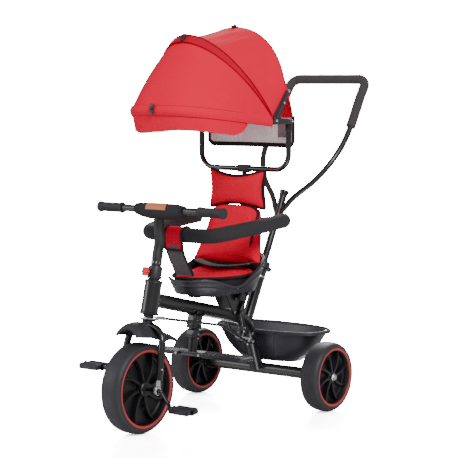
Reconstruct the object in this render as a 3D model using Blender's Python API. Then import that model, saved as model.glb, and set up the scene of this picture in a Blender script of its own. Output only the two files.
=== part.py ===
"""Children's push tricycle: steel frame, pedal front wheel, parent handle, padded seat and folding canopy.

Metres, +Z up. The rider faces -Y and +X is the rider's left. The model is built with Y = 0 on the rear
axle, and at the end it is moved along Y so that its origin is under the middle of its bounding box.
"""
import math

import bmesh
import bpy
from mathutils import Matrix, Vector

# ---------------------------------------------------------------- driving dimensions (metres, degrees)
GAP = 0.0004                    # air between touching pieces of one assembly
RUN = 0.0006                    # air in a running fit
SIDES = 12                      # sides of a plain tube

WHEELBASE = 0.5675
FRONT_WHEEL_R = 0.125
FRONT_TYRE_W = 0.060
REAR_WHEEL_R = 0.1016
REAR_TYRE_W = 0.056
REAR_TRACK = 0.480
REAR_HUB_HALF = 0.024
TYRE_DEPTH = 0.013              # rubber between tread and rim
RIM_DEPTH = 0.009               # the rim's barrel
WEB_HALF = 0.0050               # half thickness of the closed disc between hub and barrel
RIBS = 8
RIB_HALF = 0.0065
FRONT_HUB_R = 0.0210
FRONT_HUB_HALF = 0.034
REAR_HUB_R = 0.0165

STEER_LEAN = 13.5
HEAD_LOW = 0.203                # places along the steering axis, from the front wheel's centre
HEAD_HIGH = 0.298
HEAD_R = 0.0245
HEAD_BORE_R = 0.0185
STEERER_R = 0.0140
STEERER_TOP_R = 0.0125          # where the handlebar's stem slides over it
CROWN_S = 0.172                 # top of the fork's arch
CROWN_R = 0.0215                # the steerer's shoulder under the steering lever
COLLAR_TOP = 0.337
COLLAR_R = 0.0198
STEM_R = 0.0150
BAR_S = 0.492
BAR_FORWARD = 0.016             # the stem bends this far forward of the steering axis
BAR_HALF = 0.2227
BAR_R = 0.0100
GRIP_R = 0.0138
GRIP_LENGTH = 0.088

FORK_TRACK = 0.136              # between the two fork legs' centres at the axle
FORK_SHOULDER = 0.116           # the same at the shoulders of the arch
FORK_TUBE_R = 0.0100
FENDER_CREST = 0.1625           # under the fork's arch
DROPOUT_T = 0.0040
DROPOUT_HALF = 0.0085           # half width of the plate inside the slotted tube end
DROPOUT_END_R = 0.0135
DROPOUT_TOP = 0.046

CRANK_LENGTH = 0.0625
CRANK_R = 0.0050
CRANK_INSET = 0.013             # from a fork leg's centre out to the crank's first bend
CRANK_ANGLE = -44.4             # left crank from the steering group's own level, towards the back
PEDAL_LENGTH = 0.068
PEDAL_WIDTH = 0.048
PEDAL_T = 0.017

MAIN_R = 0.0200
MAIN_WALL = 0.0015
MAIN_SLOPE = 13.0               # main tube falls this much towards the back
MAIN_HEIGHT = 0.3615            # height of the main tube's centre at the head tube
MAIN_BEND_Y = -0.0716           # where the straight part would meet the descent to the axle
MAIN_BEND_R = 0.100
MAIN_FOOT_Y = -0.016
AXLE_TUBE_R = 0.0170
AXLE_TUBE_BORE_R = 0.0145
AXLE_TUBE_HALF = 0.203
AXLE_R = 0.0050

HANDLE_LEAN = 27.3
HANDLE_Y = -0.041               # the handle axis passes through this Y and this Z
HANDLE_Z = 0.305
SLEEVE_R = 0.0165
SLEEVE_BUSH = 0.014             # length of the narrow bearing at each end of the sleeve
SLEEVE_BORE_R = 0.0145
CLAMP_R = 0.0205
SHAFT_R = 0.0110
SHAFT_BORE_R = SHAFT_R - 0.0014
ARM_R = 0.0085
HANDLE_HALF = 0.140
HANDLE_TOP_Y = 0.366
HANDLE_TOP_Z = 0.965
FOAM_R = 0.0145

LINK_ARM = 0.028                # both steering levers
LINK_ROD_R = 0.0038
STUD_R = 0.0030
LINK_FRONT_S = 0.1935
LINK_BEND_Y = -0.223
LINK_BEND_Z = 0.259
LINK_EYE_R = 0.0098             # the rear eye's bore: room for the two axes' different leans

SEAT_FLOOR_Z = 0.362
SEAT_FRONT_Y = -0.382
SEAT_REAR_Y = -0.092
SEAT_HALF = 0.130
SEAT_TAPER = 0.50               # how much narrower the front is
SEAT_WALL = 0.0030

RING_Y = -0.085                 # guard ring's pivot line
RING_Z = 0.562
RING_FRONT_Y = -0.392
RING_DROP = 0.029
RING_HALF = 0.158
RING_TUBE_R = 0.0080
RING_FOAM_R = 0.0210
RING_SOCKET_X = 0.1195          # the sockets end here, and the hoop's ends start here
BACK_POST_R = 0.0075

CANOPY_HALF = 0.165
CANOPY_Y = -0.165
CANOPY_Z = 0.849
CANOPY_R = {"front": 0.331, "mid": 0.300, "rear": 0.267}
CANOPY_ANGLE = {"front": 6.4, "mid": 49.2, "rear": 98.2}
CANOPY_SQUARE = {"front": 3.0, "mid": 2.0, "rear": 2.2}
REAR_BOW_FOOT = (0, 0.058, 0.078)   # where the fixed bow stands on the hinge plates, from the pivots
BOW_R = 0.0035
CLOTH_T = 0.0020
VISOR_START = -0.112            # ahead of the pivots
VISOR_DEPTH = 0.058
WINDOW_Y = 0.112                # behind the pivots
WINDOW_LOW = 0.770

FRAME_U_Y = -0.080
FRAME_U_HALF = 0.158
FRAME_U_LOW = 0.705
FRAME_U_TOP = 0.848
FRAME_U_R = 0.0080

FOOT_Y = -0.327
FOOT_Z = 0.190
FOOT_POST_R = 0.0125
FOOT_PLATE_IN = 0.047
FOOT_PLATE_OUT = 0.198
FOOT_PLATE_W = 0.062
FOOT_PLATE_T = 0.010
FOOT_PIN_R = 0.0035

BASKET_Z = 0.222
BASKET_FLOOR_Z = 0.124
BASKET_WALL = 0.0025

SATIN_BLACK = ((0.018, 0.018, 0.020, 1), 0.35, 0.6)
PLASTIC_BLACK = ((0.022, 0.022, 0.025, 1), 0.5, 0.0)
RUBBER = ((0.025, 0.025, 0.028, 1), 0.7, 0.0)
STEEL = ((0.72, 0.72, 0.74, 1), 0.3, 1.0)
CLOTH_RED = ((0.75, 0.02, 0.05, 1), 0.85, 0.0)
FOAM = ((0.015, 0.015, 0.016, 1), 0.9, 0.0)
PLASTIC_RED = ((0.85, 0.02, 0.02, 1), 0.4, 0.0)


# ---------------------------------------------------------------- helpers
def clear_scene():
    for old in list(bpy.data.objects):
        bpy.data.objects.remove(old, do_unlink=True)


def material(name, finish):
    """The object's own Principled BSDF material, named after it."""
    if name in bpy.data.materials:
        return bpy.data.materials[name]
    colour, rough, metal = finish
    made = bpy.data.materials.new(name)
    made.use_nodes = True
    shader = made.node_tree.nodes["Principled BSDF"]
    shader.inputs["Base Color"].default_value = colour
    shader.inputs["Roughness"].default_value = rough
    shader.inputs["Metallic"].default_value = metal
    made.diffuse_color = colour
    return made


def empty(name, place=(0, 0, 0), lean=0.0, parent=None):
    """An empty at a joint. Its local Z leans back by this many degrees."""
    made = bpy.data.objects.new(name, None)
    bpy.context.collection.objects.link(made)
    made.location = place
    made.rotation_euler = (-math.radians(lean), 0, 0)
    made.parent = parent
    return made


def add(name, mesh, finish, parent=None):
    """Puts a mesh in the scene as a named object with its own material."""
    made = bpy.data.objects.new(name, mesh)
    bpy.context.collection.objects.link(made)
    made.parent = parent
    mesh.materials.clear()
    mesh.materials.append(material(name, finish))
    return made


def finished(bm, name):
    """The bmesh as a named mesh, doubles merged and normals outward."""
    bmesh.ops.remove_doubles(bm, verts=bm.verts, dist=0.00001)
    bmesh.ops.recalc_face_normals(bm, faces=bm.faces)
    mesh = bpy.data.meshes.new(name)
    bm.to_mesh(mesh)
    bm.free()
    mesh.shade_smooth()
    mesh.set_sharp_from_angle(angle=math.radians(35))
    return mesh


def baked(obj):
    """Applies an object's modifiers, so that later steps work on its plain mesh."""
    bpy.context.view_layer.update()
    graph = bpy.context.evaluated_depsgraph_get()
    mesh = bpy.data.meshes.new_from_object(obj.evaluated_get(graph))
    name, parent, matrix = obj.name, obj.parent, obj.matrix_local.copy()
    keep = obj.data.materials[:]
    bpy.data.objects.remove(obj, do_unlink=True)
    made = bpy.data.objects.new(name, mesh)
    bpy.context.collection.objects.link(made)
    made.parent = parent
    made.matrix_local = matrix
    mesh.materials.clear()
    for one in keep:
        mesh.materials.append(one)
    return made


def boolean(obj, tool, operation="DIFFERENCE"):
    """Cuts or joins obj with another object, which is removed."""
    bpy.context.view_layer.update()
    step = obj.modifiers.new("step", "BOOLEAN")
    step.operation = operation
    step.solver = "EXACT"
    step.object = tool
    made = baked(obj)
    bpy.data.objects.remove(tool, do_unlink=True)
    return made


def rounded(points, radius, step=15.0):
    """A polyline with its corners turned into arcs; radius is one value or one for each inner corner."""
    points = [Vector(p) for p in points]
    radii = radius if isinstance(radius, (list, tuple)) else [radius] * (len(points) - 2)
    out = [points[0]]
    for before, corner, after, r in zip(points, points[1:], points[2:], radii):
        a = (before - corner).normalized()
        b = (after - corner).normalized()
        turn = math.pi - a.angle(b)
        if turn < 1e-4:
            continue
        reach = r * math.tan(turn / 2)
        middle = corner + (a + b).normalized() * (r / math.cos(turn / 2))
        start = corner + a * reach - middle
        end = corner + b * reach - middle
        count = max(2, math.ceil(math.degrees(turn) / step))
        axis = start.cross(end).normalized()
        out += [middle + Matrix.Rotation(turn * k / count, 3, axis) @ start for k in range(count + 1)]
    return out + [points[-1]]


def smooth(points, count):
    """A smooth curve through these points, resampled to count points."""
    points = [Vector(p) for p in points]
    ends = [2 * points[0] - points[1]] + points + [2 * points[-1] - points[-2]]
    spans = len(points) - 1
    out = []
    for k in range(count):
        t = k * spans / (count - 1)
        i = min(int(t), spans - 1)
        t -= i
        p, q, r, s = ends[i:i + 4]
        out.append(0.5 * ((2 * q) + (r - p) * t + (2 * p - 5 * q + 4 * r - s) * t * t
                          + (3 * q - p - 3 * r + s) * t ** 3))
    return out


def tube(name, path, radius, finish, wall=None, sides=SIDES, parent=None, closed=False):
    """A tube swept along a path; with a wall it is hollow and open at its ends, or else a solid bar."""
    curve = bpy.data.curves.new(name, "CURVE")
    curve.dimensions = "3D"
    curve.bevel_depth = radius
    curve.bevel_resolution = max(0, (sides - 4) // 2)
    curve.use_fill_caps = wall is None and not closed
    line = curve.splines.new("POLY")
    line.points.add(len(path) - 1)
    for point, place in zip(line.points, path):
        point.co = (*place, 1)
    line.use_cyclic_u = closed
    made = bpy.data.objects.new(name, curve)
    bpy.context.collection.objects.link(made)
    made.parent = parent
    curve.materials.append(material(name, finish))
    made = baked(made)
    bm = bmesh.new()
    bm.from_mesh(made.data)
    bmesh.ops.remove_doubles(bm, verts=bm.verts, dist=0.00001)
    bmesh.ops.recalc_face_normals(bm, faces=bm.faces)
    bm.to_mesh(made.data)
    bm.free()
    if wall is not None:
        step = made.modifiers.new("wall", "SOLIDIFY")
        step.thickness = wall
        step.offset = -1
        step.use_even_offset = True
        made = baked(made)
    made.data.shade_smooth()
    made.data.set_sharp_from_angle(angle=math.radians(40))
    return made


def turned(name, profile, finish, segments=24, axis="Z", place=(0, 0, 0), parent=None):
    """A solid turned from a closed (radius, along) profile about an axis through place."""
    bm = bmesh.new()
    verts = [bm.verts.new((r, 0, a)) for r, a in profile]
    edges = [bm.edges.new((verts[k], verts[(k + 1) % len(verts)])) for k in range(len(verts))]
    edges = [e for e in edges if not all(v.co.x < 1e-7 for v in e.verts)]
    bmesh.ops.spin(bm, geom=verts + edges, cent=(0, 0, 0), axis=(0, 0, 1), angle=2 * math.pi,
                   steps=segments, use_merge=True)
    if axis == "X":
        bmesh.ops.rotate(bm, verts=bm.verts, matrix=Matrix.Rotation(math.radians(90), 3, "Y"))
    if axis == "Y":
        bmesh.ops.rotate(bm, verts=bm.verts, matrix=Matrix.Rotation(math.radians(-90), 3, "X"))
    made = add(name, finished(bm, name), finish, parent)
    made.location = place
    return made


def around(radius, sides):
    """Radius of a many-sided cutter whose flats clear a round bar of this radius."""
    return (radius + GAP) / math.cos(math.pi / sides)


def ring_profile(inner, outer, low, high):
    return [(inner, low), (outer, low), (outer, high), (inner, high)]


def rod_profile(radius, low, high):
    return [(0, low), (radius, low), (radius, high), (0, high)]


def block(name, low, high, finish, parent=None, bevel=0.0):
    """A box between two corners, with its edges rounded by bevel."""
    bm = bmesh.new()
    bmesh.ops.create_cube(bm, size=1)
    low, high = Vector(low), Vector(high)
    for v in bm.verts:
        v.co = Vector((low[k] + (v.co[k] + 0.5) * (high[k] - low[k]) for k in range(3)))
    if bevel:
        bmesh.ops.bevel(bm, geom=bm.edges[:], offset=bevel, segments=2, profile=0.5, affect="EDGES",
                        material=-1)
    return add(name, finished(bm, name), finish, parent)


def plate(name, outline, low, high, finish, plane="YZ", parent=None):
    """A flat plate cut to an outline in a plane, from low to high across it."""
    bm = bmesh.new()
    spots = {"YZ": lambda a, b, c: (c, a, b), "XZ": lambda a, b, c: (a, c, b), "XY": lambda a, b, c: (a, b, c)}
    face = bm.faces.new([bm.verts.new(spots[plane](a, b, low)) for a, b in outline])
    grown = bmesh.ops.extrude_face_region(bm, geom=[face])
    moved = [v for v in grown["geom"] if isinstance(v, bmesh.types.BMVert)]
    bmesh.ops.translate(bm, verts=moved, vec=Vector(spots[plane](0, 0, high - low)))
    return add(name, finished(bm, name), finish, parent)


def round_outline(points, radius, step=30.0):
    """A closed outline with rounded corners, as (a, b) pairs."""
    out = []
    count = len(points)
    for k in range(count):
        trio = [Vector((*points[(k + j) % count], 0)) for j in (-1, 0, 1)]
        middle = rounded([trio[0], trio[1], trio[2]], radius, step)[1:-1]
        out += [(p.x, p.y) for p in middle]
    return out


def loft(name, rings, finish, parent=None, capped=True):
    """A closed skin over rings of points, each with as many points as the next."""
    bm = bmesh.new()
    rows = [[bm.verts.new(p) for p in ring] for ring in rings]
    count = len(rows[0])
    for a, b in zip(rows, rows[1:]):
        for k in range(count):
            j = (k + 1) % count
            bm.faces.new((a[k], a[j], b[j], b[k]))
    if capped:
        bm.faces.new(rows[0])
        bm.faces.new(rows[-1])
    return add(name, finished(bm, name), finish, parent)


def sheet(name, rows, thickness, finish, parent=None, side=1.0):
    """A cloth sheet over a grid of points, thickened to one side."""
    bm = bmesh.new()
    grid = [[bm.verts.new(p) for p in row] for row in rows]
    for a, b in zip(grid, grid[1:]):
        for k in range(len(a) - 1):
            bm.faces.new((a[k], a[k + 1], b[k + 1], b[k]))
    bmesh.ops.recalc_face_normals(bm, faces=bm.faces)
    made = add(name, finished(bm, name), finish, parent)
    step = made.modifiers.new("cloth", "SOLIDIFY")
    step.thickness = thickness
    step.offset = side
    step.use_even_offset = True
    return baked(made)


def superellipse(half_x, half_y, power, count, centre=(0, 0)):
    """A closed rounded-box outline."""
    out = []
    for k in range(count):
        a = 2 * math.pi * (k + 0.5) / count
        c, s = math.cos(a), math.sin(a)
        out.append((centre[0] + half_x * math.copysign(abs(c) ** (2 / power), c),
                    centre[1] + half_y * math.copysign(abs(s) ** (2 / power), s)))
    return out


# ---------------------------------------------------------------- places that several pieces share
STEER_BASE = Vector((0, -WHEELBASE, FRONT_WHEEL_R))
STEER_DIR = Vector((0, math.sin(math.radians(STEER_LEAN)), math.cos(math.radians(STEER_LEAN))))
HANDLE_DIR = Vector((0, math.sin(math.radians(HANDLE_LEAN)), math.cos(math.radians(HANDLE_LEAN))))
HANDLE_BASE = Vector((0, HANDLE_Y, HANDLE_Z)) - HANDLE_DIR * 0.125
SLEEVE_LOW = 0.024              # places along the handle axis, from HANDLE_BASE
SLEEVE_HIGH = 0.232
LEVER_S = 0.008
JUNCTION_S = 0.448
CAP_S = 0.485


def steer_point(s, x=0.0, forward=0.0):
    across = Vector((0, -STEER_DIR.z, STEER_DIR.y))
    return STEER_BASE + STEER_DIR * s + Vector((x, 0, 0)) + across * forward


def handle_point(s, x=0.0, back=0.0):
    across = Vector((0, HANDLE_DIR.z, -HANDLE_DIR.y))
    return HANDLE_BASE + HANDLE_DIR * s + Vector((x, 0, 0)) + across * back


def main_path():
    """The main tube's centre line, from inside the head tube down to the rear axle tube."""
    slope = math.tan(math.radians(MAIN_SLOPE))
    head = steer_point((MAIN_HEIGHT - FRONT_WHEEL_R) / STEER_DIR.z)
    foot = Vector((0, MAIN_FOOT_Y, REAR_WHEEL_R))
    bend = Vector((0, MAIN_BEND_Y, head.z - slope * (MAIN_BEND_Y - head.y)))
    return [head, bend, foot]


def main_height(y):
    """Height of the main tube's centre above a Y on its straight part."""
    head = main_path()[0]
    return head.z - math.tan(math.radians(MAIN_SLOPE)) * (y - head.y)


# ---------------------------------------------------------------- wheels
def tyre(name, radius, width, parent):
    inner = radius - TYRE_DEPTH
    half = width / 2
    c = 0.008
    profile = [(inner, -half + 0.004), (radius - c, -half), (radius, -half + c), (radius, half - c),
               (radius - c, half), (inner, half - 0.004)]
    return turned(name, profile, RUBBER, 28, "X", parent=parent)


def rim(name, radius, width, hub_r, hub_half, bore, parent):
    """Moulded rim: barrel, hub, a closed disc between them and ribs on its faces, all in one piece."""
    outer = radius - TYRE_DEPTH - GAP
    inner = outer - RIM_DEPTH
    half = width / 2 - 0.003
    barrel = turned(name, ring_profile(inner, outer, -half, half), PLASTIC_BLACK, 28, "X", parent=parent)
    web = turned("web", ring_profile(hub_r * 0.8, inner + 0.0055, -WEB_HALF, WEB_HALF), PLASTIC_BLACK, 28, "X",
                 parent=parent)
    barrel = boolean(barrel, web, "UNION")
    for k in range(RIBS):
        rib = block("rib", (-half * 0.55, -RIB_HALF, hub_r * 0.7), (half * 0.55, RIB_HALF, inner + 0.003),
                    PLASTIC_BLACK, parent)
        rib.rotation_euler = (2 * math.pi * k / RIBS, 0, 0)
        barrel = boolean(barrel, rib, "UNION")
    hub = turned("hub", ring_profile(bore, hub_r, -hub_half, hub_half), PLASTIC_BLACK, 16, "X", parent=parent)
    hole = turned("hole", rod_profile(bore, -width, width), PLASTIC_BLACK, 16, "X", parent=parent)
    boolean(boolean(barrel, hub, "UNION"), hole)


def rear_wheel(side, word):
    spin = empty("rear_wheel_%s_spin" % word, (side * REAR_TRACK / 2, 0, REAR_WHEEL_R))
    tyre("rear_tyre_" + word, REAR_WHEEL_R, REAR_TYRE_W, spin)
    rim("rear_rim_" + word, REAR_WHEEL_R, REAR_TYRE_W, REAR_HUB_R, REAR_HUB_HALF, AXLE_R + RUN, spin)


def front_wheel(steer):
    spin = empty("front_wheel_spin", (0, 0, 0), 0, steer)
    tyre("front_tyre", FRONT_WHEEL_R, FRONT_TYRE_W, spin)
    rim("front_rim", FRONT_WHEEL_R, FRONT_TYRE_W, FRONT_HUB_R, FRONT_HUB_HALF, AXLE_R + RUN, spin)


# ---------------------------------------------------------------- steering group
def fork(steer):
    leg = FORK_TRACK / 2
    top = FORK_SHOULDER / 2
    corners = [(-leg, 0, 0.028), (-leg, 0, 0.050), (-top, 0, CROWN_S - 0.012), (0, 0, CROWN_S + 0.004),
               (top, 0, CROWN_S - 0.012), (leg, 0, 0.050), (leg, 0, 0.028)]
    arch = rounded(corners, [0.05, 0.045, 0.030, 0.045, 0.05], 22)
    legs = tube("fork_legs", arch, FORK_TUBE_R, SATIN_BLACK, 0.0014, 10, steer)
    low = max(p.z for p in arch)
    shoulder = CROWN_S + 0.014
    seat = LINK_FRONT_S - 0.005
    profile = [(0, low), (STEERER_R, low), (STEERER_R, shoulder), (CROWN_R, shoulder), (CROWN_R, seat),
               (STEERER_R, seat), (STEERER_R, HEAD_HIGH + 0.003), (STEERER_TOP_R, HEAD_HIGH + 0.004),
               (STEERER_TOP_R, COLLAR_TOP - 0.004), (0, COLLAR_TOP - 0.004)]
    steerer = turned("steerer", profile, SATIN_BLACK, 16, parent=steer)
    boolean(steerer, tube("cut", arch, FORK_TUBE_R + GAP, SATIN_BLACK, sides=10, parent=steer))
    tip = LINK_ARM + 0.006
    outline = round_outline([(-0.019, -0.019), (0.008, -0.019), (tip, -0.0055), (tip, 0.0055), (0.008, 0.019),
                             (-0.019, 0.019)], 0.004)
    lever = plate("steering_lever", outline, LINK_FRONT_S - 0.0046, LINK_FRONT_S - 0.0006, STEEL, "XY", steer)
    hole = turned("cut", rod_profile(STEERER_R + GAP, 0.15, 0.25), STEEL, 20, parent=steer)
    lever = boolean(lever, hole)
    stud = turned("stud", rod_profile(STUD_R, LINK_FRONT_S - 0.003, LINK_FRONT_S + 0.0062), STEEL, 12,
                  place=(LINK_ARM, 0, 0), parent=steer)
    boolean(lever, stud, "UNION")
    for side, word in ((1, "left"), (-1, "right")):
        outline = [(-DROPOUT_HALF, DROPOUT_TOP), (-DROPOUT_HALF, 0.022)]
        outline += [(-DROPOUT_END_R * math.cos(math.radians(a)), -DROPOUT_END_R * math.sin(math.radians(a)))
                    for a in range(-30, 211, 20)]
        outline += [(DROPOUT_HALF, 0.022), (DROPOUT_HALF, DROPOUT_TOP)]
        middle = side * leg
        plate_half = DROPOUT_T / 2
        piece = plate("dropout_" + word, outline, middle - plate_half, middle + plate_half, STEEL, "YZ", steer)
        bore = turned("cut", rod_profile(CRANK_R + RUN, -0.02, 0.02), STEEL, 16, "X", (middle, 0, 0), steer)
        boolean(piece, bore)
        slot = block("cut", (middle - plate_half - GAP, -DROPOUT_HALF - GAP, 0.0),
                     (middle + plate_half + GAP, DROPOUT_HALF + GAP, DROPOUT_TOP + GAP), STEEL, steer)
        legs = boolean(legs, slot)


def fender(steer):
    """Moulded guard over the front wheel; it dips under the fork's arch and stands up in front of it."""
    # along the wheel, height of the crest, fall of the edges, half width
    sections = ((-0.078, 0.158, 0.020, 0.038), (-0.066, 0.169, 0.032, 0.048), (-0.044, 0.1755, 0.034, 0.051),
                (-0.020, 0.1755, 0.028, 0.051), (-0.0125, FENDER_CREST, 0.020, 0.045),
                (0.020, FENDER_CREST, 0.018, 0.044), (0.060, 0.161, 0.016, 0.044), (0.095, 0.155, 0.012, 0.039),
                (0.123, 0.148, 0.009, 0.030))
    rows = []
    for y, crest, fall, half in sections:
        rows.append([Vector((u * half, y, crest - fall * abs(u) ** 2.2))
                     for u in (-1, -0.7, -0.35, 0, 0.35, 0.7, 1)])
    skin = sheet("fender", rows, 0.0022, PLASTIC_BLACK, steer, -1.0)
    boolean(skin, turned("cut", rod_profile(0.0060, 0.10, 0.20), STEEL, 12, parent=steer))


def handlebar(steer):
    turned("stem_collar", [(STEM_R + GAP, HEAD_HIGH + 0.004), (COLLAR_R, HEAD_HIGH + 0.004),
                           (COLLAR_R, COLLAR_TOP - 0.002), (COLLAR_R - 0.002, COLLAR_TOP),
                           (STEM_R + GAP, COLLAR_TOP)], PLASTIC_BLACK, 20, parent=steer)
    path = rounded([(0, 0, HEAD_HIGH + 0.006), (0, 0, BAR_S - 0.075), (0, -BAR_FORWARD, BAR_S - 0.03),
                    (0, -BAR_FORWARD, BAR_S - BAR_R + 0.003)], 0.05, 12)
    stem = tube("stem", path, STEM_R, SATIN_BLACK, 0.0008, parent=steer)
    cut = turned("cut", rod_profile(BAR_R + GAP, -0.1, 0.1), STEEL, 20, "X", (0, -BAR_FORWARD, BAR_S), steer)
    boolean(stem, cut)
    turned("handlebar", ring_profile(BAR_R - 0.0015, BAR_R, -BAR_HALF + 0.004, BAR_HALF - 0.004),
           SATIN_BLACK, 16, "X", (0, -BAR_FORWARD, BAR_S), steer)
    for side, word in ((1, "left"), (-1, "right")):
        end = BAR_HALF
        start = end - GRIP_LENGTH
        flange = GRIP_R + 0.001
        profile = [(BAR_R + GAP, start), (flange, start), (flange, start + 0.006),
                   (GRIP_R - 0.0015, start + 0.010), (GRIP_R - 0.001, end - 0.012), (flange, end - 0.008),
                   (GRIP_R, end - 0.001), (0, end), (0, end - 0.003), (BAR_R + GAP, end - 0.003)]
        turned("grip_" + word, [(r, side * a) for r, a in profile], RUBBER, 14, "X",
               (0, -BAR_FORWARD, BAR_S), steer)


def bar_pad(steer):
    """Padded cover round the middle of the handlebar, with a bore for the bar and one for the stem."""
    rings = []
    for x, half_y, half_z, drop in ((-0.080, 0.017, 0.0135, 0.0), (-0.073, 0.021, 0.0165, 0.001),
                                    (-0.050, 0.025, 0.0195, 0.003), (0.0, 0.027, 0.0215, 0.004),
                                    (0.050, 0.025, 0.0195, 0.003), (0.073, 0.021, 0.0165, 0.001),
                                    (0.080, 0.017, 0.0135, 0.0)):
        outline = superellipse(half_y, half_z, 2.6, 16)
        rings.append([(x, -BAR_FORWARD + a, BAR_S - drop + b) for a, b in outline])
    pad = loft("bar_pad", rings, FOAM, steer)
    bore = turned("cut", rod_profile(BAR_R + GAP, -0.12, 0.12), FOAM, 18, "X", (0, -BAR_FORWARD, BAR_S), steer)
    pad = boolean(pad, bore)
    neck = turned("cut", rod_profile(STEM_R + 2 * GAP, BAR_S - 0.06, BAR_S), FOAM, 18,
                  place=(0, -BAR_FORWARD, 0), parent=steer)
    boolean(pad, neck)


def clutch_knob(steer):
    """Lobed knob on the collar's front right, turned to free the handlebar."""
    turn = empty("clutch_knob_turn", (0, 0, 0), 0, steer)
    turn.location = (-0.006, -(COLLAR_R + 0.0012), 0.318)
    turn.rotation_euler = (math.radians(90), 0, math.radians(-18))
    bm = bmesh.new()
    outline = []
    for k in range(36):
        a = 2 * math.pi * k / 36
        r = 0.0122 + 0.0018 * math.cos(6 * a)
        outline.append((r * math.cos(a), r * math.sin(a)))
    face = bm.faces.new([bm.verts.new((a, b, 0.004)) for a, b in outline])
    grown = bmesh.ops.extrude_face_region(bm, geom=[face])
    moved = [v for v in grown["geom"] if isinstance(v, bmesh.types.BMVert)]
    bmesh.ops.translate(bm, verts=moved, vec=(0, 0, 0.012))
    knob = add("clutch_knob", finished(bm, "clutch_knob"), PLASTIC_RED, turn)
    shank = turned("shank", rod_profile(0.0045, 0.0, 0.006), PLASTIC_RED, 14, parent=turn)
    boolean(knob, shank, "UNION")


def crank_and_pedals(steer):
    leg = FORK_TRACK / 2
    spin = empty("crank_spin", (0, 0, 0), 0, steer)
    throw_a = math.radians(CRANK_ANGLE)
    inner = leg + CRANK_INSET
    tips = {}
    path = []
    for side in (1, -1):
        throw = Vector((0, math.cos(throw_a), math.sin(throw_a))) * CRANK_LENGTH * side
        elbow = Vector((side * inner, 0, 0))
        knee = throw + Vector((side * (inner + 0.009), 0, 0))
        tip = throw + Vector((side * (inner + 0.020 + PEDAL_LENGTH), 0, 0))
        tips[side] = throw
        part = [elbow, knee, tip]
        path = part[::-1] + path if side == 1 else path + part
    tube("crank", rounded(path, 0.008, 30), CRANK_R, STEEL, sides=10, parent=spin)
    for side, word in ((1, "left"), (-1, "right")):
        hub = empty("pedal_%s_swivel" % word, tips[side], 0, spin)
        hub.rotation_euler = (math.radians(STEER_LEAN), 0, 0)
        start = side * (inner + 0.016)
        end = start + side * PEDAL_LENGTH
        low, high = min(start, end), max(start, end)
        outline = round_outline([(low, -PEDAL_WIDTH / 2), (high, -PEDAL_WIDTH / 2 + 0.008),
                                 (high, PEDAL_WIDTH / 2 - 0.008), (low, PEDAL_WIDTH / 2)], 0.012)
        body = plate("pedal_" + word, outline, -PEDAL_T / 2, PEDAL_T / 2, PLASTIC_BLACK, "XY", hub)
        for k in (-1, 1):
            middle = k * 0.0145
            window = block("cut", (low + 0.012, middle - 0.0045, -0.02), (high - 0.012, middle + 0.0045, 0.02),
                           STEEL, hub)
            body = boolean(body, window)
        bore = turned("cut", rod_profile(CRANK_R + RUN, low - 0.01, high + 0.01), STEEL, 14, "X", parent=hub)
        boolean(body, bore)


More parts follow.
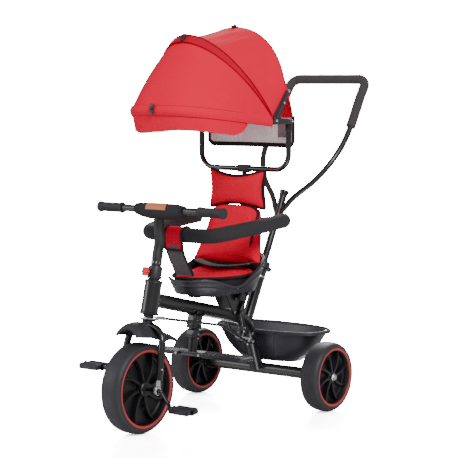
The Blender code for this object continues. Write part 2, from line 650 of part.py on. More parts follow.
# ---------------------------------------------------------------- frame
def frame_tubes():
    head = empty("head_tube_place", STEER_BASE, STEER_LEAN)
    flange = HEAD_R + 0.002
    lip = HEAD_R + 0.0005
    profile = [(HEAD_BORE_R, HEAD_LOW), (flange, HEAD_LOW), (flange, HEAD_LOW + 0.005),
               (HEAD_R, HEAD_LOW + 0.007), (HEAD_R - 0.001, HEAD_HIGH - 0.006), (lip, HEAD_HIGH - 0.004),
               (lip, HEAD_HIGH), (HEAD_BORE_R, HEAD_HIGH)]
    turned("head_tube", profile, SATIN_BLACK, 28, parent=head)
    for word, low in (("lower", HEAD_LOW - 0.002), ("upper", HEAD_HIGH - 0.013)):
        turned("head_bush_" + word, ring_profile(STEERER_R + RUN, HEAD_BORE_R - GAP, low, low + 0.015),
               PLASTIC_BLACK, 16, parent=head)
    plug = AXLE_TUBE_HALF - 0.012
    turned("rear_axle_tube", [(AXLE_R + GAP, -AXLE_TUBE_HALF), (AXLE_TUBE_R, -AXLE_TUBE_HALF),
                              (AXLE_TUBE_R, AXLE_TUBE_HALF), (AXLE_R + GAP, AXLE_TUBE_HALF),
                              (AXLE_R + GAP, plug), (AXLE_TUBE_BORE_R, plug), (AXLE_TUBE_BORE_R, -plug),
                              (AXLE_R + GAP, -plug)], SATIN_BLACK, 20, "X", (0, 0, REAR_WHEEL_R))
    head_face = REAR_TRACK / 2 + REAR_HUB_HALF + RUN
    turned("rear_axle", [(0, -head_face + 0.0022), (AXLE_R, -head_face + 0.0022), (AXLE_R, head_face),
                         (0.0095, head_face), (0.0095, head_face + 0.0012), (0.0078, head_face + 0.0016),
                         (0.0078, head_face + 0.006), (0.0045, head_face + 0.0086), (0, head_face + 0.0094)],
           STEEL, 14, "X", (0, 0, REAR_WHEEL_R))
    end = -head_face
    turned("axle_nut", [(0, end), (0.0095, end), (0.0095, end - 0.0012), (0.0078, end - 0.0016),
                        (0.0078, end - 0.006), (0.0045, end - 0.0086), (0, end - 0.0094)],
           STEEL, 14, "X", (0, 0, REAR_WHEEL_R))
    main = tube("main_tube", rounded(main_path(), MAIN_BEND_R, 15), MAIN_R, SATIN_BLACK, MAIN_WALL, 12)
    cope = turned("cut", rod_profile(HEAD_R + 0.0003 + GAP, 0, 0.5), STEEL, 28, parent=head)
    main = boolean(main, cope)
    saddle = turned("cut", rod_profile(AXLE_TUBE_R + GAP, -0.1, 0.1), STEEL, 24, "X", (0, 0, REAR_WHEEL_R))
    main = boolean(main, saddle)
    lean = empty("handle_sleeve_place", HANDLE_BASE, HANDLE_LEAN)
    through = turned("cut", rod_profile(SLEEVE_R + GAP, -0.03, 0.22), STEEL, 24, parent=lean)
    boolean(main, through)
    bearing = SHAFT_R + RUN
    upper = SLEEVE_HIGH - SLEEVE_BUSH
    lower = SLEEVE_LOW + SLEEVE_BUSH
    profile = [(bearing, SLEEVE_LOW), (SLEEVE_R, SLEEVE_LOW), (SLEEVE_R, SLEEVE_HIGH), (bearing, SLEEVE_HIGH),
               (bearing, upper), (SLEEVE_BORE_R, upper), (SLEEVE_BORE_R, lower), (bearing, lower)]
    turned("handle_sleeve", profile, SATIN_BLACK, 20, parent=lean)
    profile = [(bearing, SLEEVE_HIGH + 0.001), (CLAMP_R, SLEEVE_HIGH + 0.001), (CLAMP_R, SLEEVE_HIGH + 0.020),
               (CLAMP_R - 0.002, SLEEVE_HIGH + 0.023), (bearing, SLEEVE_HIGH + 0.023)]
    clamp = turned("sleeve_clamp", profile, PLASTIC_BLACK, 20, parent=lean)
    profile = [(0, 0.016), (0.0045, 0.016), (0.0045, 0.028), (0.0075, 0.029), (0.0075, 0.037), (0.005, 0.039),
               (0, 0.039)]
    knob = turned("knob", profile, PLASTIC_BLACK, 14, "Y", (0, 0, SLEEVE_HIGH + 0.011), lean)
    boolean(clamp, knob, "UNION")


def seat_supports():
    """Folded bracket from the main tube up to the seat, its release lever, and the back post."""
    top_z = SEAT_FLOOR_Z - SEAT_WALL - 0.0015
    front, rear = -0.208, -0.092
    foot_front, foot_rear = -0.162, -0.118
    bracket = plate("seat_bracket", [(front, top_z), (foot_front, main_height(foot_front) + 0.004),
                                     (foot_rear, main_height(foot_rear) + 0.004), (rear, top_z)],
                    -0.024, 0.024, SATIN_BLACK)
    inside = plate("cut", [(front - 0.1, top_z - 0.003), (foot_front - 0.1, 0.2), (foot_rear + 0.1, 0.2),
                           (rear + 0.1, top_z - 0.003)], -0.0208, 0.0208, SATIN_BLACK)
    bracket = boolean(bracket, inside)
    head, bend = main_path()[:2]
    beyond = bend + (bend - head).normalized() * 0.06
    trough = tube("cut", [head, beyond], MAIN_R + GAP, SATIN_BLACK, sides=16)
    boolean(bracket, trough)
    block("seat_lever", (-0.017, -0.328, top_z - 0.0090), (0.017, -0.150, top_z - 0.0040), PLASTIC_BLACK,
          bevel=0.002)
    post = tube("back_frame", back_post_path(), BACK_POST_R, SATIN_BLACK, sides=10)
    reach = RING_SOCKET_X
    corners = [(-reach, RING_Y, RING_Z), (-0.095, RING_Y, RING_Z), (0, RING_Y + 0.020, 0.548),
               (0.095, RING_Y, RING_Z), (reach, RING_Y, RING_Z)]
    arms = tube("arms", rounded(corners, 0.03, 20), RING_TUBE_R - 0.0020, SATIN_BLACK, sides=10)
    boolean(post, arms, "UNION")


def back_post_path():
    """From the seat's rear, out and up to the canopy frame's bottom bar."""
    return rounded([(0, -0.150, 0.392), (0, -0.074, 0.404), (0, -0.066, 0.46),
                    (0, FRAME_U_Y, FRAME_U_LOW - FRAME_U_R - GAP)], 0.02, 25)


def footrest():
    lean = math.radians(-MAIN_SLOPE)
    top = Vector((0, FOOT_Y + 0.018, main_height(FOOT_Y + 0.018)))
    down = Vector((0, -math.sin(math.radians(10.5)), -math.cos(math.radians(10.5))))
    start = top + down * (MAIN_R + 0.002)
    end = Vector((0, FOOT_Y, FOOT_Z))
    post = tube("post", [start, end + Vector((0, 0, 0.0110))], FOOT_POST_R, SATIN_BLACK, 0.0016, 12)
    turn = empty("clamp_place", top, 0)
    turn.rotation_euler = (lean, 0, 0)
    clamp = block("footrest_post", (-0.0145, -0.019, -MAIN_R - 0.037), (0.0145, 0.019, -MAIN_R + 0.004),
                  SATIN_BLACK, turn, 0.0015)
    groove = tube("cut", [main_path()[0], main_path()[1]], MAIN_R + GAP, SATIN_BLACK, sides=16)
    boolean(boolean(clamp, groove), post, "UNION")
    beam = block("footrest_beam", (-FOOT_PLATE_IN + 0.001, FOOT_Y - 0.016, FOOT_Z - 0.007),
                 (FOOT_PLATE_IN - 0.001, FOOT_Y + 0.016, FOOT_Z + 0.007), SATIN_BLACK, bevel=0.002)
    for side in (-1, 1):
        pin = turned("pin", rod_profile(FOOT_PIN_R, FOOT_Y - 0.0265, FOOT_Y + 0.0265), STEEL, 12, "Y",
                     (side * (FOOT_PLATE_IN - 0.006), 0, FOOT_Z))
        beam = boolean(beam, pin, "UNION")
    for side, word in ((1, "left"), (-1, "right")):
        fold = empty("footrest_%s_fold" % word, (side * (FOOT_PLATE_IN - 0.006), FOOT_Y, FOOT_Z))
        low, high = sorted((side * 0.008, side * (FOOT_PLATE_OUT - FOOT_PLATE_IN + 0.006)))
        outline = round_outline([(low, -FOOT_PLATE_W / 2), (high, -FOOT_PLATE_W / 2), (high, FOOT_PLATE_W / 2),
                                 (low, FOOT_PLATE_W / 2)], 0.006)
        half_t = FOOT_PLATE_T / 2
        foot = plate("footrest_" + word, outline, -half_t, half_t, PLASTIC_BLACK, "XY", fold)
        for y in (-1, 1):
            near, far = sorted((side * -0.0055, side * 0.012))
            ear = block("ear", (near, y * 0.0210 - 0.0035, -0.005), (far, y * 0.0210 + 0.0035, 0.005),
                        PLASTIC_BLACK, fold)
            foot = boolean(foot, ear, "UNION")
        boolean(foot, turned("cut", rod_profile(FOOT_PIN_R + RUN, -0.04, 0.04), STEEL, 14, "Y", parent=fold))


def basket():
    """Deep tub behind the seat, with a rolled rim."""
    rings = []
    # height, half width, half depth, middle along Y
    outside = ((BASKET_Z, 0.182, 0.086, 0.066), (BASKET_Z, 0.190, 0.094, 0.066),
               (BASKET_Z - 0.007, 0.191, 0.095, 0.066), (BASKET_Z - 0.009, 0.183, 0.087, 0.066),
               (BASKET_Z - 0.050, 0.156, 0.073, 0.063), (BASKET_FLOOR_Z + 0.012, 0.118, 0.056, 0.060),
               (BASKET_FLOOR_Z, 0.102, 0.046, 0.060))
    inside = ((BASKET_FLOOR_Z + BASKET_WALL, 0.100, 0.044, 0.060), (BASKET_FLOOR_Z + 0.014, 0.115, 0.053, 0.060),
              (BASKET_Z - 0.050, 0.153, 0.070, 0.063), (BASKET_Z - 0.009, 0.180, 0.084, 0.066))
    for z, half_x, half_y, y in outside:
        rings.append([(a, b, z) for a, b in superellipse(half_x, half_y, 2.5, 24, (0, y))])
    inner = []
    for z, half_x, half_y, y in inside:
        inner.append([(a, b, z) for a, b in superellipse(half_x, half_y, 2.5, 24, (0, y))])
    bm = bmesh.new()
    rows = [[bm.verts.new(p) for p in ring] for ring in inner + rings]
    count = len(rows[0])
    for a, b in zip(rows, rows[1:]):
        for k in range(count):
            j = (k + 1) % count
            bm.faces.new((a[k], a[j], b[j], b[k]))
    bm.faces.new(rows[0])
    bm.faces.new(rows[-1])
    tub = add("basket", finished(bm, "basket"), PLASTIC_BLACK)
    saddle = turned("cut", rod_profile(AXLE_TUBE_R + GAP, -0.2, 0.2), STEEL, 24, "X", (0, 0, REAR_WHEEL_R))
    boolean(tub, saddle)


# ---------------------------------------------------------------- seat
def seat_outline(grow=0.0, count=28):
    """Plan of the seat, narrower towards the knees."""
    middle = (SEAT_FRONT_Y + SEAT_REAR_Y) / 2
    half_y = (SEAT_REAR_Y - SEAT_FRONT_Y) / 2 + grow
    points = []
    for x, y in superellipse(SEAT_HALF + grow, half_y, 2.7, count, (0, middle)):
        ahead = max(0.0, (SEAT_REAR_Y - y) / (SEAT_REAR_Y - SEAT_FRONT_Y))
        points.append((x * (1 - SEAT_TAPER * ahead ** 2.6), y))
    return points


def rim_height(x, y):
    """The seat's wavy edge: low beside the thighs, high behind."""
    along = (y - SEAT_FRONT_Y) / (SEAT_REAR_Y - SEAT_FRONT_Y)
    return 0.402 + 0.006 * math.cos(along * 2 * math.pi) + 0.066 * max(0.0, along - 0.35) ** 1.3 / 0.65 ** 1.3


def seat_shell():
    rings_out, rings_in = [], []
    for share in (0.0, 0.35, 0.75, 1.0):
        out, inn = [], []
        for x, y in seat_outline(-0.022 * (1 - share) ** 1.6):
            top = rim_height(x, y)
            out.append((x, y, SEAT_FLOOR_Z - SEAT_WALL + (top - SEAT_FLOOR_Z + SEAT_WALL) * share))
        for x, y in seat_outline(-0.022 * (1 - share) ** 1.6 - SEAT_WALL):
            top = rim_height(x, y)
            inn.append((x, y, SEAT_FLOOR_Z + (top - SEAT_FLOOR_Z) * share))
        rings_out.append(out)
        rings_in.append(inn)
    lip = [(x, y, rim_height(x, y) - 0.004) for x, y in seat_outline(0.006)]
    lip_top = [(x, y, rim_height(x, y)) for x, y in seat_outline(0.005)]
    bm = bmesh.new()
    rings = rings_in + [lip_top, lip] + rings_out[2::-1]
    rows = [[bm.verts.new(p) for p in ring] for ring in rings]
    count = len(rows[0])
    for a, b in zip(rows, rows[1:]):
        for k in range(count):
            j = (k + 1) % count
            bm.faces.new((a[k], a[j], b[j], b[k]))
    bm.faces.new(rows[0])
    bm.faces.new(rows[-1])
    shell = add("seat_shell", finished(bm, "seat_shell"), PLASTIC_BLACK)
    boolean(shell, tube("cut", back_post_path(), BACK_POST_R + GAP, SATIN_BLACK, sides=10))


def cushions():
    """Seat, back and head cushions as plain closed pads."""
    rings = []
    for z, grow in ((SEAT_FLOOR_Z + 0.001, -0.036), (0.376, -0.023), (0.398, -0.015), (0.412, -0.018),
                    (0.420, -0.034)):
        ring = []
        for x, y in seat_outline(grow, 20):
            rear = max(0.0, (y + 0.24) / 0.14)
            ring.append((x, min(y, -0.132), z + (0.018 * min(1.0, rear) if z > 0.39 else 0)))
        rings.append(ring)
    seat = loft("seat_cushion", rings, CLOTH_RED)
    post = tube("cut", [(0, -0.165, 0.3895), (0, -0.12, 0.3975)], 0.009, SATIN_BLACK, sides=12)
    boolean(seat, post)
    back = []
    for z, half, front, rear in ((0.442, 0.066, -0.146, -0.112), (0.476, 0.076, -0.150, -0.112),
                                 (0.484, 0.108, -0.148, -0.100), (0.525, 0.112, -0.146, -0.094),
                                 (0.572, 0.098, -0.142, -0.094), (0.592, 0.084, -0.136, -0.098)):
        centre = (front + rear) / 2
        back.append([(a, b, z) for a, b in superellipse(half, (rear - front) / 2, 3.2, 20, (0, centre))])
    loft("back_cushion", back, CLOTH_RED)
    head = []
    for z, half, thick in ((0.600, 0.060, 0.010), (0.612, 0.090, 0.017), (0.650, 0.096, 0.022),
                           (0.690, 0.092, 0.018), (0.702, 0.070, 0.010)):
        head.append([(a, b, z) for a, b in superellipse(half, thick, 2.8, 20, (0, -0.118))])
    loft("headrest_cushion", head, CLOTH_RED)


def guard_ring():
    """Hoop round the child on sockets behind the seat; it lifts up about the line of its two ends."""
    lift = empty("guard_ring_lift", (0, RING_Y, RING_Z))
    front = RING_FRONT_Y - RING_Y
    end = RING_SOCKET_X + RUN
    corners = [(end, 0, 0), (RING_HALF, 0, 0), (RING_HALF - 0.002, front * 0.50, -RING_DROP * 0.42),
               (0.118, front, -RING_DROP)]
    path = corners + [(-x, y, z) for x, y, z in corners[::-1]]
    line = rounded(path, [0.026, 0.12, 0.052, 0.052, 0.12, 0.026], 22)
    foam_line = line[3:-3]
    tube("guard_tube", line, RING_TUBE_R, SATIN_BLACK, 0.0013, 8, lift)
    foam = tube("guard_foam", foam_line, RING_FOAM_R, FOAM, sides=10, parent=lift)
    inner = tube("cut", line, around(RING_TUBE_R, 8), FOAM, sides=8, parent=lift)
    boolean(foam, inner)
    return lift


def crotch_strap(lift):
    """Webbing from the ring down to the seat's front edge, with a padded sleeve over the ring."""
    front = RING_FRONT_Y
    low_ring = RING_Z - RING_DROP
    outer = RING_FOAM_R + 0.0008
    line = [(front + outer * math.sin(math.radians(a)), low_ring + outer * math.cos(math.radians(a)))
            for a in (120, 90, 60, 30, 0, -30, -60, -90, -112)]
    line += [(front - outer * 0.80, 0.500), (front + 0.010, 0.455), (-0.368, 0.4135)]
    rows = []
    for y, z in line:
        rows.append([Vector((x, y - RING_Y, z - RING_Z)) for x in (-0.031, -0.0155, 0, 0.0155, 0.031)])
    sheet("crotch_strap", rows, 0.003, CLOTH_RED, lift, 1.0)


# ---------------------------------------------------------------- canopy
def arch(which, count, inset=0.0, start=0.08):
    """Points of one canopy bow, from the left pivot over the top to the right one, in the pivot's frame."""
    angle = math.radians(CANOPY_ANGLE[which])
    reach = CANOPY_R[which] - inset
    half = CANOPY_HALF - inset
    power = CANOPY_SQUARE[which]
    out = []
    for k in range(count):
        a = start + (math.pi - 2 * start) * k / (count - 1)
        c, s = math.cos(a), math.sin(a)
        x = half * math.copysign(abs(c) ** (2 / power), c)
        r = reach * abs(s) ** (2 / power)
        out.append(Vector((x, -r * math.cos(angle), r * math.sin(angle))))
    return out


def rear_arch(count, inset=0.0):
    """The fixed rear bow stands on the hinge plates, a little behind the pivots."""
    angle = math.radians(CANOPY_ANGLE["rear"])
    base = Vector(REAR_BOW_FOOT)
    crown = Vector((0, -math.cos(angle), math.sin(angle))) * (CANOPY_R["rear"] - inset)
    rise = crown - base
    power = CANOPY_SQUARE["rear"]
    out = []
    for k in range(count):
        a = math.pi * k / (count - 1)
        c, s = math.cos(a), math.sin(a)
        x = (CANOPY_HALF - inset) * math.copysign(abs(c) ** (2 / power), c)
        out.append(base + rise * abs(s) ** (2 / power) + Vector((x, 0, 0)))
    return out


def canopy_panel(name, hems, low, high, parent, end, bulge, start=0.0):
    """Cloth between two bows, bellied a little outwards, after any rows that hang below the first bow."""
    rows = list(hems)
    for j in range(4):
        t = start + (end - start) * j / 3
        row = []
        for p, q in zip(low, high):
            spot = p.lerp(q, t)
            away = Vector((0, spot.y, spot.z)).normalized()
            full = min(1.0, math.hypot(spot.y, spot.z) / 0.15)
            row.append(spot + away * bulge * math.sin(math.pi * t) * full)
        rows.append(row)
    return sheet(name, rows, CLOTH_T, CLOTH_RED, parent, 1.0)


def canopy():
    pivot = Vector((0, CANOPY_Y, CANOPY_Z))
    fixed = empty("canopy_pivot", pivot)
    mid = empty("canopy_mid_fold", pivot)
    front = empty("canopy_front_fold", (0, 0, 0), 0, mid)
    inset = BOW_R + CLOTH_T + GAP
    count = 15
    tube("canopy_mid_bow", arch("mid", count, inset), BOW_R, PLASTIC_BLACK, sides=6, parent=mid)
    tube("canopy_front_bow", arch("front", count, inset), BOW_R, PLASTIC_BLACK, sides=6, parent=front)
    rear_bow = [p + Vector((0, -0.009, -0.001)) for p in rear_arch(count, inset)[1:-1]]
    tube("canopy_rear_bow", rear_bow, BOW_R, PLASTIC_BLACK, sides=6, parent=fixed)
    hems = []
    for z, back in ((WINDOW_LOW, WINDOW_Y), (FRAME_U_TOP + 0.006, WINDOW_Y - 0.003)):
        hems.append([Vector((p.x * 0.93, back + 0.028 * (1 - (p.x / CANOPY_HALF) ** 2), z - CANOPY_Z))
                     for p in rear_arch(count)])
    canopy_panel("canopy_rear_panel", hems, rear_arch(count), arch("mid", count), fixed, 0.975, 0.004)
    canopy_panel("canopy_front_panel", [], arch("mid", count), arch("front", count), front, 1.0, 0.008, 0.025)
    rim = [p for p in arch("front", 33) if p.y < VISOR_START]
    rows = []
    for j in range(3):
        row = []
        for k, p in enumerate(rim):
            share = k / (len(rim) - 1)
            edge = math.sqrt(min(1.0, 5 * min(share, 1 - share) + 0.05))
            drop = 0.007 + VISOR_DEPTH * edge * j / 2
            row.append(Vector((p.x * (1 - 0.03 * j / 2), p.y - 0.005 * j, p.z - drop)))
        rows.append(row)
    sheet("canopy_visor", rows, CLOTH_T, CLOTH_RED, front, 1.0)
    for side, word in ((1, "left"), (-1, "right")):
        low, high = sorted((side * (CANOPY_HALF + 0.0035), side * (CANOPY_HALF + 0.0075)))
        outline = round_outline([(-0.012, -0.012), (0.088, -0.014), (0.093, 0.006), (0.030, 0.020),
                                 (0.072, 0.080), (0.058, 0.090), (-0.010, 0.010)], 0.005)
        plate("canopy_hinge_" + word, outline, low, high, PLASTIC_BLACK, "YZ", fixed)
    corners = [(side * FRAME_U_HALF, FRAME_U_Y, z) for side, z in ((1, FRAME_U_TOP), (1, FRAME_U_LOW),
                                                                    (-1, FRAME_U_LOW), (-1, FRAME_U_TOP))]
    tube("canopy_frame", rounded(corners, 0.045, 30), FRAME_U_R, SATIN_BLACK, 0.0012, 8)


# ---------------------------------------------------------------- parent handle and steering link
def push_handle():
    turn = empty("push_handle_turn", HANDLE_BASE, HANDLE_LEAN)
    flare = SHAFT_R + 0.0035
    profile = [(SHAFT_BORE_R, 0.0), (SHAFT_R, 0.0), (SHAFT_R, CAP_S - 0.012), (flare, CAP_S),
               (flare, CAP_S + 0.003), (0, CAP_S + 0.003), (0, CAP_S), (SHAFT_BORE_R, CAP_S)]
    turned("handle_shaft", profile, SATIN_BLACK, 16, parent=turn)
    tip = LINK_ARM + 0.007
    root = 1.37 * SHAFT_R
    outline = round_outline([(-SHAFT_R - 0.005, -root), (tip, -0.007), (tip, 0.007), (-SHAFT_R - 0.005, root)],
                            0.0055)
    lever = plate("handle_lever", outline, LEVER_S, LEVER_S + 0.004, STEEL, "XY", turn)
    lever = boolean(lever, turned("cut", rod_profile(SHAFT_R + GAP, -0.05, 0.05), STEEL, 18, parent=turn))
    stud = turned("stud", rod_profile(STUD_R, LEVER_S - 0.016, LEVER_S + 0.002), STEEL, 12,
                  place=(LINK_ARM, 0, 0), parent=turn)
    boolean(lever, stud, "UNION")
    to_local = Matrix.Rotation(math.radians(HANDLE_LEAN), 3, "X")
    top = to_local @ (Vector((0, HANDLE_TOP_Y, HANDLE_TOP_Z)) - HANDLE_BASE)
    half = HANDLE_HALF
    bend = [(SHAFT_R * 0.7, 0.0, JUNCTION_S - 0.030), (0.040, 0.002, JUNCTION_S + 0.022),
            (0.094, 0.008, JUNCTION_S + 0.084), (0.131, top.y * 0.30, JUNCTION_S + 0.160),
            (0.143, top.y * 0.60, JUNCTION_S + 0.250), (half, top.y * 0.86, top.z - 0.060)]
    side_line = smooth(bend, 10)
    whole = side_line + [Vector((half, top.y, top.z))]
    loop = whole + [Vector((-p.x, p.y, p.z)) for p in whole[::-1]]
    corner = len(whole) - 1
    turns = rounded(loop[corner - 1:corner + 3], 0.030, 25)[1:-1]
    path = loop[:corner] + turns + loop[corner + 2:]
    arms = tube("handle_arms", path, ARM_R, SATIN_BLACK, 0.0014, 8, turn)
    boolean(arms, turned("cut", rod_profile(SHAFT_R + GAP, 0.3, 0.6), STEEL, 18, parent=turn))
    first = 7
    grip = tube("handle_grip", path[first:-first], FOAM_R, FOAM, sides=10, parent=turn)
    boolean(grip, tube("cut", path[first - 2:2 - first], around(ARM_R, 8), FOAM, sides=8, parent=turn))


def link_rod():
    """Rod from the fork's lever back to the handle's lever; its rear eye has room for the two leans."""
    front = steer_point(LINK_FRONT_S + 0.003, LINK_ARM)
    rear = handle_point(LEVER_S - 0.008, LINK_ARM)
    swing = empty("link_rod_swing", front)
    bend = Vector((LINK_ARM, LINK_BEND_Y, LINK_BEND_Z)) - front
    far = rear - front
    start = Matrix.Rotation(-math.radians(STEER_LEAN), 3, "X") @ Vector((0, 0.0062, 0.0006))
    path = rounded([start, bend, far + Vector((0, -0.0112, 0.0040))], 0.06, 12)
    rod = tube("link_rod", path, LINK_ROD_R, SATIN_BLACK, sides=10, parent=swing)
    half = 0.0028
    eye = turned("eye", ring_profile(STUD_R + RUN, 0.0075, -half, half), STEEL, 16, parent=swing)
    eye.rotation_euler = (-math.radians(STEER_LEAN), 0, 0)
    rod = boolean(rod, eye, "UNION")
    back = turned("eye", ring_profile(LINK_EYE_R, LINK_EYE_R + 0.003, -half, half), STEEL, 18, place=far,
                  parent=swing)
    back.rotation_euler = (-math.radians(HANDLE_LEAN), 0, 0)
    rod = boolean(rod, back, "UNION")
    clear = turned("cut", rod_profile(STUD_R + RUN, -0.02, 0.02), STEEL, 16, parent=swing)
    clear.rotation_euler = (-math.radians(STEER_LEAN), 0, 0)
    rod = boolean(rod, clear)
    clear = turned("cut", rod_profile(LINK_EYE_R, -0.02, 0.02), STEEL, 18, place=far, parent=swing)
    clear.rotation_euler = (-math.radians(HANDLE_LEAN), 0, 0)
    boolean(rod, clear)


def settle_origin():
    """Moves the whole model along Y, so that the origin is under the middle of its bounding box."""
    bpy.context.view_layer.update()
    graph = bpy.context.evaluated_depsgraph_get()
    low, high = 1e9, -1e9
    for obj in bpy.context.scene.objects:
        if obj.type != "MESH":
            continue
        shown = obj.evaluated_get(graph)
        for v in shown.data.vertices:
            y = (shown.matrix_world @ v.co).y
            low, high = min(low, y), max(high, y)
    shift = -(low + high) / 2
    for obj in bpy.context.scene.objects:
        if obj.parent is None:
            obj.location.y += shift
    bpy.context.view_layer.update()
    return shift


def main():
    clear_scene()
    steer = empty("steering_axis", STEER_BASE, STEER_LEAN)
    frame_tubes()
    seat_supports()
    footrest()
    basket()
    seat_shell()
    cushions()
    fork(steer)
    fender(steer)
    handlebar(steer)
    bar_pad(steer)
    clutch_knob(steer)
    front_wheel(steer)
    crank_and_pedals(steer)
    rear_wheel(1, "left")
    rear_wheel(-1, "right")
    crotch_strap(guard_ring())
    canopy()
    push_handle()
    link_rod()
    print("origin moved along Y by %.6f" % settle_origin())


main()
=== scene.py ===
"""Looks of a child's push tricycle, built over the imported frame.

Metres, +Z up, the rider faces -Y. Every assembly works in its own plain coordinates (the frame's, the
leaning steering axis's or the leaning handle axis's, each measured from the rear axle's line) and is moved
to its place when its mesh is finished.
"""
from __future__ import annotations

import logging
import math
from dataclasses import dataclass
from enum import Enum
from typing import Callable, Iterable, Sequence
import bmesh
import bpy
import numpy as np
from mathutils import Matrix, Vector


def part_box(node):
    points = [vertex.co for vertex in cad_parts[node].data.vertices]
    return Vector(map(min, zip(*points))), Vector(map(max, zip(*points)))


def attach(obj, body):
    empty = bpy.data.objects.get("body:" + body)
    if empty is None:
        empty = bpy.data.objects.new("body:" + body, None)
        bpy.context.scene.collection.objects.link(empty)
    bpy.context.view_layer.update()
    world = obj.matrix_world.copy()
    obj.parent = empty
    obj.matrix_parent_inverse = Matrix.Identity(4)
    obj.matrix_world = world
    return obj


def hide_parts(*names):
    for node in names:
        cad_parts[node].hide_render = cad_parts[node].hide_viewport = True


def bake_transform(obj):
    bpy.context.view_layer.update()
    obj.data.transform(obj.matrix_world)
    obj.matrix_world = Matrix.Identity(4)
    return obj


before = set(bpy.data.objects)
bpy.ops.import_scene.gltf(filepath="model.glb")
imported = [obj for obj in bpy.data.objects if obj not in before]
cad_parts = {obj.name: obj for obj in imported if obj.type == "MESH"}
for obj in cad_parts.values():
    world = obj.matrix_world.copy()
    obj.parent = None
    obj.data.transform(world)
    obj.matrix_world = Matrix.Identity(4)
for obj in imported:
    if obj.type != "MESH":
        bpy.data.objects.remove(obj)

LOG = logging.getLogger("tricycle")
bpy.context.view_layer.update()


# ------------------------------------------------------------------------------------------- places
def box_middle(node: str) -> Vector:
    """The middle of a CAD node's box.

    Args:
        node: name of the node.

    Returns:
        The point, in the row frame.
    """
    low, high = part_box(node)
    return (Vector(low) + Vector(high)) / 2


AXLE_Y = box_middle("rear_axle_tube").y
FRONT_AXLE = box_middle("front_tyre")
WORLD = Matrix.Translation((0.0, AXLE_Y, 0.0))
STEER_LEAN = math.radians(13.5)
HANDLE_LEAN = math.radians(27.3)
HANDLE_FOOT = Vector((0.0, AXLE_Y - 0.09833, 0.19392))      # on the handle's axis, at its lever
STEERING = Matrix.Translation(FRONT_AXLE) @ Matrix.Rotation(-STEER_LEAN, 4, "X")
HANDLE = Matrix.Translation(HANDLE_FOOT) @ Matrix.Rotation(-HANDLE_LEAN, 4, "X")


class Side(Enum):
    """The two sides of the tricycle, as the sign of X."""

    LEFT = 1
    RIGHT = -1

    @property
    def word(self) -> str:
        """The side's name in lower case."""
        return self.name.lower()


# ---------------------------------------------------------------------------------------- materials
def linear(code: str) -> tuple[float, float, float, float]:
    """Turns an sRGB hex colour to linear RGBA.

    Args:
        code: six hex digits.

    Returns:
        Four floats, the last one 1.
    """
    out = []
    for k in (0, 2, 4):
        c = int(code[k:k + 2], 16) / 255
        out.append(c / 12.92 if c <= 0.04045 else ((c + 0.055) / 1.055) ** 2.4)
    return (*out, 1.0)


def add_node(tree: bpy.types.NodeTree, kind: str, inputs: dict | None = None, **settings) -> bpy.types.Node:
    """Adds a node with its settings, its constants and its links.

    Args:
        tree: the node tree.
        kind: the node's type name, without its ShaderNode prefix.
        inputs: values or output sockets, by input name or index.
        **settings: attributes of the node itself.

    Returns:
        The new node.
    """
    node = tree.nodes.new("ShaderNode" + kind)
    for key, value in settings.items():
        setattr(node, key, value)
    for key, value in (inputs or {}).items():
        if isinstance(value, bpy.types.NodeSocket):
            tree.links.new(value, node.inputs[key])
        else:
            node.inputs[key].default_value = value
    return node


@dataclass(frozen=True)
class Finish:
    """What every finish has; each kind adds its own pattern over the plain shader."""

    label: str
    colour: str
    roughness: float

    def material(self) -> bpy.types.Material:
        """The finish as a material, made the first time it is asked for."""
        if self.label in bpy.data.materials:
            return bpy.data.materials[self.label]
        made = bpy.data.materials.new(self.label)
        made.use_nodes = True
        tree = made.node_tree
        shader = tree.nodes["Principled BSDF"]
        shader.inputs["Base Color"].default_value = linear(self.colour)
        shader.inputs["Roughness"].default_value = self.roughness
        self.pattern(tree, shader)
        return made

    def pattern(self, tree: bpy.types.NodeTree, shader: bpy.types.Node) -> None:
        """Adds the finish's own pattern.

        Args:
            tree: the material's node tree.
            shader: its Principled shader.
        """

    def mottle(self, tree: bpy.types.NodeTree, shader: bpy.types.Node, place: bpy.types.NodeSocket,
               size: float, other: str, spread: float) -> None:
        """Broad, faint variation of colour and roughness.

        Args:
            tree: the material's node tree.
            shader: its Principled shader.
            place: the coordinates.
            size: size of the patches in metres.
            other: the second colour.
            spread: how far the roughness varies.
        """
        noise = add_node(tree, "TexNoise", {"Vector": place, "Scale": 1 / size, "Detail": 3.0})
        mix = add_node(tree, "Mix", {0: noise.outputs["Fac"], 6: linear(self.colour), 7: linear(other)},
                       data_type="RGBA")
        tree.links.new(mix.outputs[2], shader.inputs["Base Color"])
        rough = add_node(tree, "MapRange", {"Value": noise.outputs["Fac"], "From Min": 0.3, "From Max": 0.7,
                                            "To Min": max(0.02, self.roughness - spread),
                                            "To Max": min(1.0, self.roughness + spread)})
        tree.links.new(rough.outputs["Result"], shader.inputs["Roughness"])


